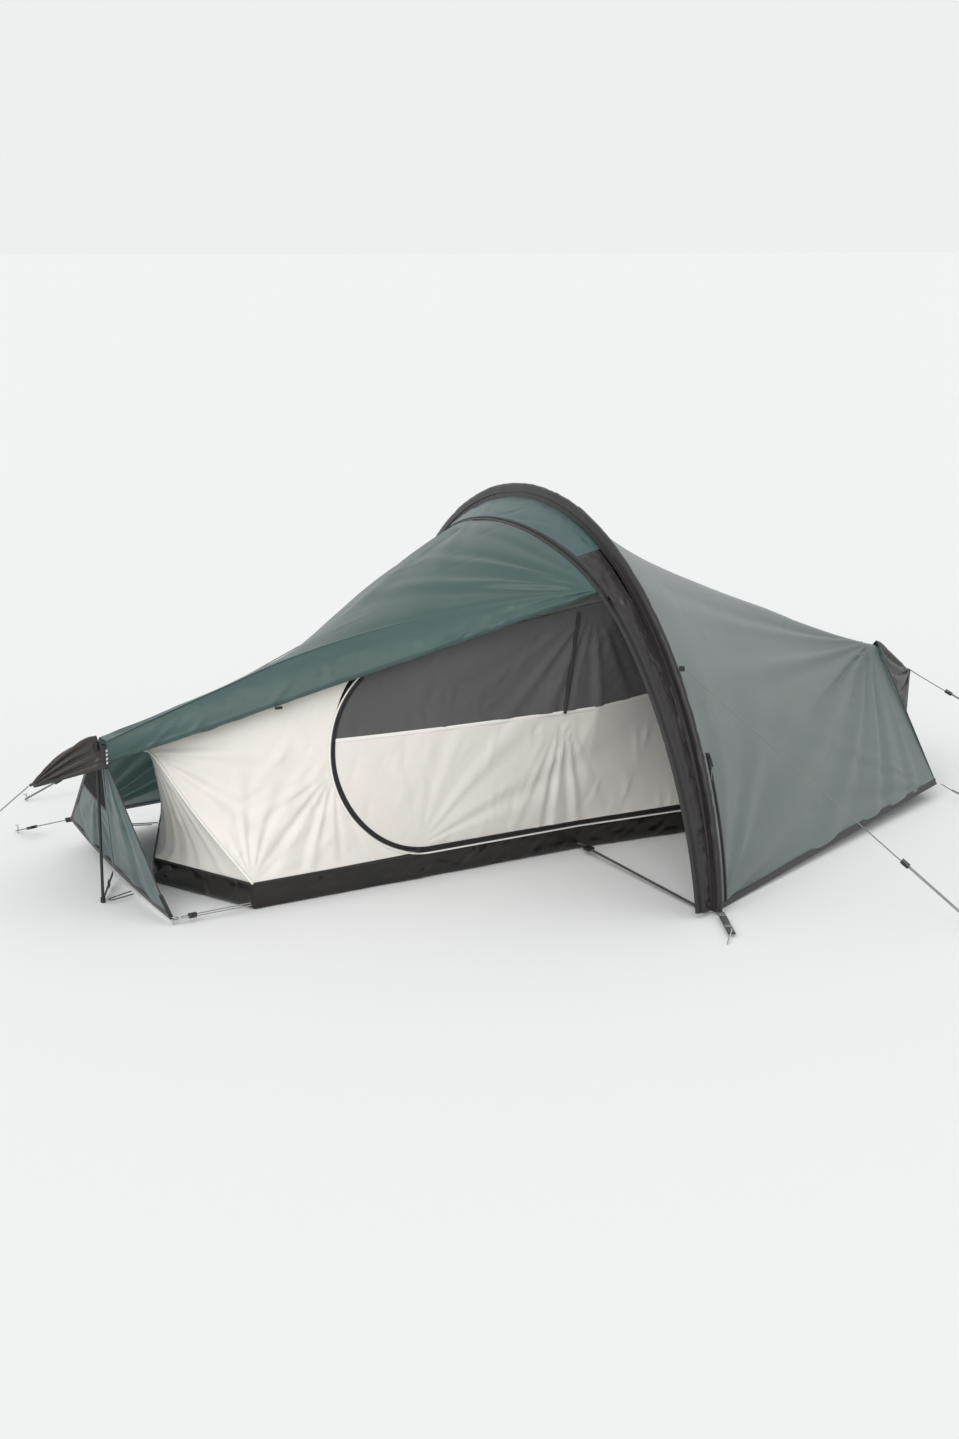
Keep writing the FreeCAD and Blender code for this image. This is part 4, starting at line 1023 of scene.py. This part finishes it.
def make_inner_door():
    low_left, high_right = door_cloth(0.1, 0.02), door_cloth(1, 0.75)
    fans = [(low_left, high_right - low_left, FRONT, 19, 0.25, 0.0022, 0.9),
            (near_wall(MESH_TAPE_STATION, MESH_LEFT_Z + 0.03), (0.06, 0, -1), FRONT, 30, 0.16, 0.0046,
             0.34)]
    cloth_piece("door_cloth_panel", sample(door_cloth, steps(61), steps(141)), fans,
                [(73, 60, (0.25, 0, 1), 0.16, 0.009, 0.0022, 0.25)], (0.03, 0.02, 0.03, 0.03), FRONT,
                INNER, ["inner_door_cloth"], body="inner_door")
    top = near_wall(-0.06, near_top(-0.06).z - SEAM_GAP)
    cloth_piece("door_mesh_panel", sample(door_mesh, steps(61), steps(141)),
                [(top, (-0.05, 0, -1), FRONT, 23, 0.16, 0.0048, 0.9)],
                [(74, 70, (0.3, 0, 1), 0.16, 0.008, 0.0036, 0.4)], (0.02, 0.03, 0.03, 0.03), FRONT,
                MESH, ["inner_door_mesh"], body="inner_door")
    surface_tape("door_mesh_seam", door_cloth, along_v(0.995, 70), FRONT, 0.010, SEAM, "inner",
                 body="inner_door")
    heights = between(MESH_LEFT_Z + 0.022, near_top(MESH_TAPE_STATION).z - 0.018, 30)
    ribbon("door_mesh_tape", [near_wall(MESH_TAPE_STATION, z) for z in heights], [FRONT] * 30, 0.008,
           TAPE, "mesh", 0.0075, body="inner_door")


def make_inner_zip():
    path = door_zip_path()
    zip_strip("inner_zip", path, [FRONT] * len(path), 0.014, ["inner_door_zip"])
    piping = [p + Vector((0, -0.0026, 0)) for p in door_zip_path(PIPING_OFFSET)]
    tube("inner_zip_piping", piping, 0.0024, SEAM)


def make_inner_shell():
    cloth_piece("inner_roof_cloth", sample(inner_roof, steps(121), steps(21)), [],
                [(81, 50, (0.2, 1, 0.3), 0.2, 0.012, 0.0030)], (0.02, 0.02, 0.06, 0.06), (0, -0.2, 1),
                INNER, ["inner_roof"])
    cloth_piece("inner_back_cloth", sample(inner_back, steps(121), steps(61)), [],
                [(82, 60, (0.2, 0.2, 1), 0.25, 0.014, 0.0046, 0.4)], (0.02, 0.02, 0.03, 0.03),
                (0, 1, 0.2), INNER, ["inner_back_wall"])
    for name, side in (("left", -1), ("right", 1)):
        surface, outward = inner_end(side), (side, 0, 0.2)
        high = surface(1, 0.5)
        cloth_piece("inner_end_%s_cloth" % name, sample(surface, steps(61), steps(81)),
                    [(high, surface(0, 0.25) - high, outward, 30, 0.16, 0.0020, 1.2)],
                    [(83, 34, surface(0, 0.2) - high, 0.16, 0.009, 0.0024, 0.3)],
                    (0.03, 0.03, 0.03, 0.03), outward, INNER, ["inner_end_" + name])
        corner = [surface(u, 0) + Vector((side * 0.002, -0.003, 0)) for u in steps(50)]
        tube("inner_corner_seam_" + name, corner, 0.0030, SEAM)


TUB_PITCH = 0.006
# Where the foot of the tub turns in: inset, then height.
TUB_TURN = [(0.004, 0.006), (0.010, 0.0015)]
TUB_FLOOR_RINGS = (0.94, 0.75, 0.5, 0.25, 0.03)
TUB_FLOOR_Z = 0.0012
SIDE_LIMIT, FLOOR_LIMIT = 0.005, 0.0004


def tub_ring():
    """Points round the tub's outline, with the first one repeated at the end."""
    outline = [place(x, y, 0) for x, y in tub_outline(0)]
    ring = []
    for here, ahead in zip(outline, outline[1:] + outline[:1]):
        count = max(int((ahead - here).length / TUB_PITCH), 2)
        ring += [mix(here, ahead, i / count) for i in range(count)]
    return rows_of(ring + ring[:1])


def make_tub():
    """The tub: crumpled upright sides that turn in at the foot, and the floor, nearly flat."""
    ring = tub_ring()
    middle = ring[:-1].mean(axis=0)
    inward = unit(middle - ring)
    profile = [(0, z) for z in between(TUB_HEIGHT, 0.014, 9)] + TUB_TURN
    rows = [ring + inward * inset + np.array((0, 0, z)) for inset, z in profile]
    for share in TUB_FLOOR_RINGS:
        rows.append(middle + (ring - middle) * share + np.array((0, 0, TUB_FLOOR_Z)))
    grid = np.array(rows)
    ripple = crumple(grid, 91, 700, (1, 0.1, 0.25), 0.10, 0.008, 0.0042, 0.35)
    ripple[0] *= 0.2
    ripple = np.clip(ripple, -SIDE_LIMIT, SIDE_LIMIT)
    last = len(profile) - 1
    ripple[last:] = np.clip(ripple[last:], -FLOOR_LIMIT, FLOOR_LIMIT)
    along = np.gradient(ring, axis=0)
    side = unit(np.stack([along[:, 1], -along[:, 0], np.zeros(len(ring))], axis=1))
    side *= np.sign((side * (ring - middle)).sum(axis=1, keepdims=True))
    outward = np.zeros_like(grid)
    outward[:len(profile)] = side
    outward[len(profile):] = (0, 0, 1)
    piece = grid_piece("tub_floor_cloth", grid + outward * ripple[..., None], TUB,
                       ["inner_tub_floor"])
    tube("tub_top_seam", ring + np.array((0, 0, TUB_HEIGHT)), 0.0028, TAPE)


# --- Straps, tabs, cords --------------------------------------------------------------

# Across a strap: the share of its width, then of its thickness.
STRAP_PROFILE = [(-0.5, 0), (-0.44, 0.5), (0, 0.55), (0.44, 0.5), (0.5, 0), (0.44, -0.5), (0, -0.55),
                 (-0.44, -0.5), (-0.5, 0)]
FOOT_PEG = (-0.084, 1.092)
END_STRAPS = [((-1.318, -0.050), (-1.234, 0.106, 0.024)), ((1.260, -0.030), (1.252, 0.066, 0.034))]
# Width and thickness of each kind of strap.
FOOT_STRAP, END_STRAP, PORCH_STRAP = (0.020, 0.0022), (0.0115, 0.0018), (0.012, 0.0016)
CORNER_TAB, HOOP_TAB, HOOD_TAB = (0.014, 0.0024), (0.014, 0.0030), (0.012, 0.0030)


def band(name, path, wide, width, thick, nodes=()):
    """A flat webbing strap along a path, closed all round with rounded edges."""
    path, wide = rows_of(path), np.array(wide, dtype=float)
    along = unit(np.gradient(path, axis=0))
    side = unit(wide - along * (along * wide).sum(axis=1, keepdims=True))
    up = np.cross(along, side)
    grid = np.stack([path + side * width * s + up * thick * h for s, h in STRAP_PROFILE], axis=1)
    last = (len(path) - 1) * len(STRAP_PROFILE)
    ends = [tuple(range(8)), tuple(last + j for j in range(8))[::-1]]
    piece = mesh_object(name, grid.reshape(-1, 3), grid_faces(*grid.shape[:2]) + ends, grid_uvs(grid),
                        WEB)
    finish_piece(piece, nodes)


def make_straps():
    for name, side in (("near", -1), ("far", 1)):
        start = place(-0.006, side * (HALF_SPAN + 0.006), 0.012)
        end = place(FOOT_PEG[0] + 0.008, side * (FOOT_PEG[1] - 0.010), 0.009)
        along = (end - start).normalized()
        wide = Vector((0, 0, 1)).cross(along)
        band("foot_strap_" + name, between(start, end, 24), wide, *FOOT_STRAP,
             ["foot_straps"] if side < 0 else [])
        up = along.cross(wide)
        for index, f in enumerate((0.10, 0.16, 0.62, 0.68)):
            middle = mix(start, end, f) + (up if up.z > 0 else -up) * 0.0016
            row = [(middle + wide * s, wide, (0, 0, 1)) for s in np.linspace(-0.007, 0.007, 5)]
            blocks("foot_strap_%s_stitches_%d" % (name, index), row, (0.0022, 0.0009, 0.0008), MARK)
    for index, (foot, fly_hem) in enumerate(END_STRAPS):
        away = 1 if fly_hem[0] > foot[0] else -1
        end = place(foot[0] + away * 0.008, foot[1] + 0.014, 0.008)
        band("end_strap_%d" % index, between(place(*fly_hem), end, 30), (0, 0, 1), *END_STRAP,
             ["end_straps"] if index == 0 else [])
    path = between(place(0, -0.268, 0.020), place(-0.026, -0.906, 0.009), 60)
    band("porch_strap_web", path, (1, 0, 0), *PORCH_STRAP, ["porch_strap"])


def make_tabs():
    """Webbing tabs that the guy lines leave from."""
    hood_wide, hoop_wide = (0, 1, 0), (0, 0, 1)
    tabs = [("hoop_near", (0, -0.730, 0.602), (0, -0.752, 0.606), hoop_wide, HOOP_TAB),
            ("hoop_far", (0, 0.730, 0.602), (0, 0.752, 0.606), hoop_wide, HOOP_TAB),
            ("hood_left", (-1.474, -0.020, 0.331), (-1.487, -0.020, 0.327), hood_wide, HOOD_TAB),
            ("hood_right", (1.394, -0.020, 0.333), (1.407, -0.020, 0.329), hood_wide, HOOD_TAB)]
    for index, (name, start, end, wide, size) in enumerate(tabs):
        band("guy_tab_" + name, between(place(*start), place(*end), 10), wide, *size,
             ["guy_tabs"] if index == 0 else [])


def make_corner_tabs():
    """The webbing tabs at the flysheet's left corners, and the near one's barrel toggle."""
    near, near_high, far = [place(*corner) for corner in LEFT_END[:3]]
    high = mix(near, near_high, 0.16) + Vector((-0.003, -0.003, 0))
    low = near + Vector((0, -0.003, 0.004))
    path = between(high, low, 16) + between(low, place(-1.214, -0.309, 0.015), 8)[1:]
    band("corner_tab_near_left", path, (0.9, 0.4, 0), *CORNER_TAB)
    barrel = between(place(-1.186, -0.309, 0.0165), place(-1.166, -0.309, 0.017), 8)
    tube("corner_barrel", barrel, 0.0072, PLASTIC, sides=16)
    reach = [mix(far, place(-1.240, 0.458, 0.084), f) for f in np.linspace(-0.4, 1.1, 12)]
    band("corner_tab_far_left", reach, (0, 0, 1), *CORNER_TAB)


def make_strut_tops():
    """Webbing bands over the strut pockets, with reflective marks."""
    for name, station, y, top in (("left", -1.306, -0.070, 0.424), ("right", 1.256, -0.030, 0.425)):
        low, high = place(station, y, top - 0.064), place(station, y, top - 0.002)
        turns = np.linspace(0, 2 * math.pi, 25)
        rows = [[tuple(centre + Vector((0.0078 * math.cos(t), 0.0086 * math.sin(t), 0))) for t in turns]
                for centre in between(low, high, 20)]
        grid_piece("strut_pocket_band_" + name, np.array(rows), WEB)
        marks = [(mix(low, high, f) + Vector((0.0055, -0.0070, 0)), (0, 0, 1), (0.6, -0.8, 0))
                 for f in (0.25, 0.42, 0.59, 0.76)]
        blocks("strut_marks_" + name, marks, (0.006, 0.0075, 0.0008), MARK)


# Tab, peg, the runner's share of the way from the peg (0 for none), side of the loop, length.
GUYS = {
    "hoop_near": ((0.004, -0.752, 0.604), (0.482, -1.345), 0.25, 1, 1.228),
    "hoop_far": ((-0.004, 0.752, 0.604), (-1.180, 1.012), 0.085, -1, 1.477),
    "hood_left": ((-1.490, -0.020, 0.326), (-1.800, 0.180), 0.30, 1, 0.652),
    "hood_right": ((1.411, -0.020, 0.328), (1.800, -0.500), 0.80, 1, 1.271),
    "corner_left": ((-1.240, 0.458, 0.084), (-1.310, 0.686), 0.32, 1, 0.349),
    "corner_right": ((1.262, -0.356, 0.043), (1.300, -0.470), 0.0, 1, 0.231),
}
PEG_CORD_Z = 0.007
PEG_TURN = 0.0055
STRAIGHT = 0.006
KNOT_SHARE = 0.7
# Distances from the tab: where the step aside starts, where it ends, and a straight point on.
STEP_ASIDE = (0.012, 0.036, 0.046)

# Route, length and look of each doubled elastic.
ELASTICS = {
    "near_corner": ([(-1.016, -0.306, 0.022), (-1.190, -0.304, 0.017), (-1.206, -0.304, 0.016),
                     (-1.206, -0.314, 0.015), (-1.190, -0.314, 0.015), (-1.020, -0.318, 0.020)],
                    0.382, ELASTIC),
    "far_corner": ([(-0.960, 0.484, 0.030), (-1.196, 0.450, 0.062), (-1.210, 0.449, 0.063),
                    (-1.208, 0.440, 0.063), (-1.194, 0.440, 0.062), (-0.985, 0.466, 0.032)],
                   0.487, ELASTIC),
    "strut_foot": ([(-1.236, -0.038, 0.014), (-1.292, -0.052, 0.010), (-1.304, -0.056, 0.009),
                    (-1.307, -0.066, 0.009), (-1.296, -0.070, 0.009), (-1.238, -0.060, 0.013)],
                   0.149, RUBBER),
}


def guy_points(start, end, runner_at, side):
    """The route of one guy line, in order from its tab to its tied end.

    It leaves the tab straight, steps aside by half a loop, and turns back round the peg."""
    along = (end - start).normalized()
    across = along.cross(Vector((0, 0, 1))).normalized() * (side * LOOP_WIDTH / 2)
    tied = mix(end, start, runner_at) - across
    turn = end + along * PEG_TURN
    before, after, straight_on = [start + along * distance for distance in STEP_ASIDE]
    return [start, before, after + across, straight_on + across, turn + across - along * STRAIGHT,
            turn + across, turn - across, turn - across - along * STRAIGHT, tied]


def cord_piece(name, points, node, length, mat):
    data = bpy.data.curves.new(name, "CURVE")
    data.dimensions = "3D"
    spline = data.splines.new("NURBS")
    spline.points.add(len(points) - 1)
    for point, place_at in zip(spline.points, points):
        point.co = (*place_at, 1)
    spline.order_u = 3
    spline.use_endpoint_u = True
    spline.resolution_u = 24
    data.bevel_depth = CORD / 2
    data.bevel_resolution = 3
    data.use_fill_caps = True
    data.materials.append(mat)
    piece = new_object(name, data)
    finish_piece(piece, [node])
    tuple(points[0])


def make_guys():
    for name, (tab, peg, runner_at, side, length) in GUYS.items():
        start, end = place(*tab), place(*peg, PEG_CORD_Z)
        route = guy_points(start, end, runner_at, side)
        if runner_at > 0:
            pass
        else:
            route[-1] = mix(end, start, KNOT_SHARE)
        cord_piece("line_" + name, route, "guy_" + name, length,
                   CORD_CLOTH)


def make_elastics():
    for name, (points, length, look) in ELASTICS.items():
        cord_piece("elastic_line_" + name, [place(*p) for p in points], "elastic_" + name, length,
                   look)


NODE_LOOKS = (
    (ALLOY, ("hoop_pole_sections", "hoop_pole_ferrules", "hoop_pole_tips")),
    (RUBBER, ("hoop_shock_cord",)),
    (WIRE, ("guy_pegs", "foot_and_corner_pegs")),
    (PLASTIC, ("strut_left", "strut_right", "strut_boots_and_pockets", "door_zip_slider",
               "side_zip_slider", "inner_door_slider", "door_toggle", "porch_buckle", "end_buckles",
               "runner_hoop_near", "runner_hoop_far", "runner_hood_left", "runner_hood_right",
               "runner_corner_left")),
)


def dress_nodes():
    """Materials for the parts that stay as modelled."""
    for mat, names in NODE_LOOKS:
        for name in names:
            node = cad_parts[name]
            node.data.materials.clear()
            node.data.materials.append(mat)


# --- Floor, light and camera ----------------------------------------------------------

FLOOR_SIZE = 300
FLOOR_Z = -0.0006
FLOOR_TONE = (0.792, 0.792, 0.792, 1)
WORLD_TONE = (0.985, 1.0, 1.0, 1)
WORLD_STRENGTH = 0.872
SUN_STRENGTH = 1.5
SUN_SPREAD = 50
SUN_WAY = Vector((1.0, 0.75, -0.8))
CAMERA_PLACE = (-2.9511, -4.9012, 1.6583)
CAMERA_YAW = 29.949
CAMERA_DOWN = 13.108
CAMERA_LENS = 51.17
SENSOR_WIDTH = 36


def make_stage():
    mat, shader = shader_of("studio_floor")
    set_inputs(shader, Base_Color=FLOOR_TONE, Roughness=0.85, Specular_IOR_Level=0.2)
    corners = [(x * FLOOR_SIZE, y * FLOOR_SIZE, 0) for x, y in ((-1, -1), (1, -1), (1, 1), (-1, 1))]
    floor = mesh_object("floor", corners, [(0, 1, 2, 3)], None, mat)
    floor.location.z = FLOOR_Z
    world = bpy.data.worlds.new("studio")
    bpy.context.scene.world = world
    world.use_nodes = True
    set_inputs(world.node_tree.nodes["Background"], Color=WORLD_TONE, Strength=WORLD_STRENGTH)


def make_lights():
    """One broad soft sun over the camera's left shoulder; the pale world does the rest."""
    data = bpy.data.lights.new("soft_key", "SUN")
    data.energy = SUN_STRENGTH
    data.angle = math.radians(SUN_SPREAD)
    lamp = new_object("soft_key", data)
    lamp.rotation_euler = SUN_WAY.to_track_quat("-Z", "Y").to_euler()


def make_camera():
    data = bpy.data.cameras.new("camera")
    data.lens = CAMERA_LENS
    data.sensor_width = SENSOR_WIDTH
    data.clip_end = 1000
    camera = new_object("camera", data)
    camera.location = CAMERA_PLACE
    camera.rotation_euler = (math.pi / 2 - math.radians(CAMERA_DOWN), 0, -math.radians(CAMERA_YAW))
    bpy.context.scene.camera = camera


make_camera()
make_guys()
make_elastics()
make_sleeve()
make_left_roof()
make_door_roll()
make_right_fly()
make_end("left", LEFT_END, (0.50, 1.0), (-1, -0.1, 0.1))
make_end("right", RIGHT_END, (0.295, 0.705), (1, 0, 0.1))
make_hood("left", LEFT_HOOD, 0.020, (-0.5, 0, 1))
make_hood("right", RIGHT_HOOD, 0.006, (0.5, 0, 1))
make_flap_and_crown()
make_zips()
make_zip_pull()
make_inner_front()
make_inner_door()
make_inner_zip()
make_inner_shell()
make_tub()
make_straps()
make_tabs()
make_corner_tabs()
make_strut_tops()
dress_nodes()
make_stage()
make_lights()
bpy.context.scene.view_settings.view_transform = "Standard"
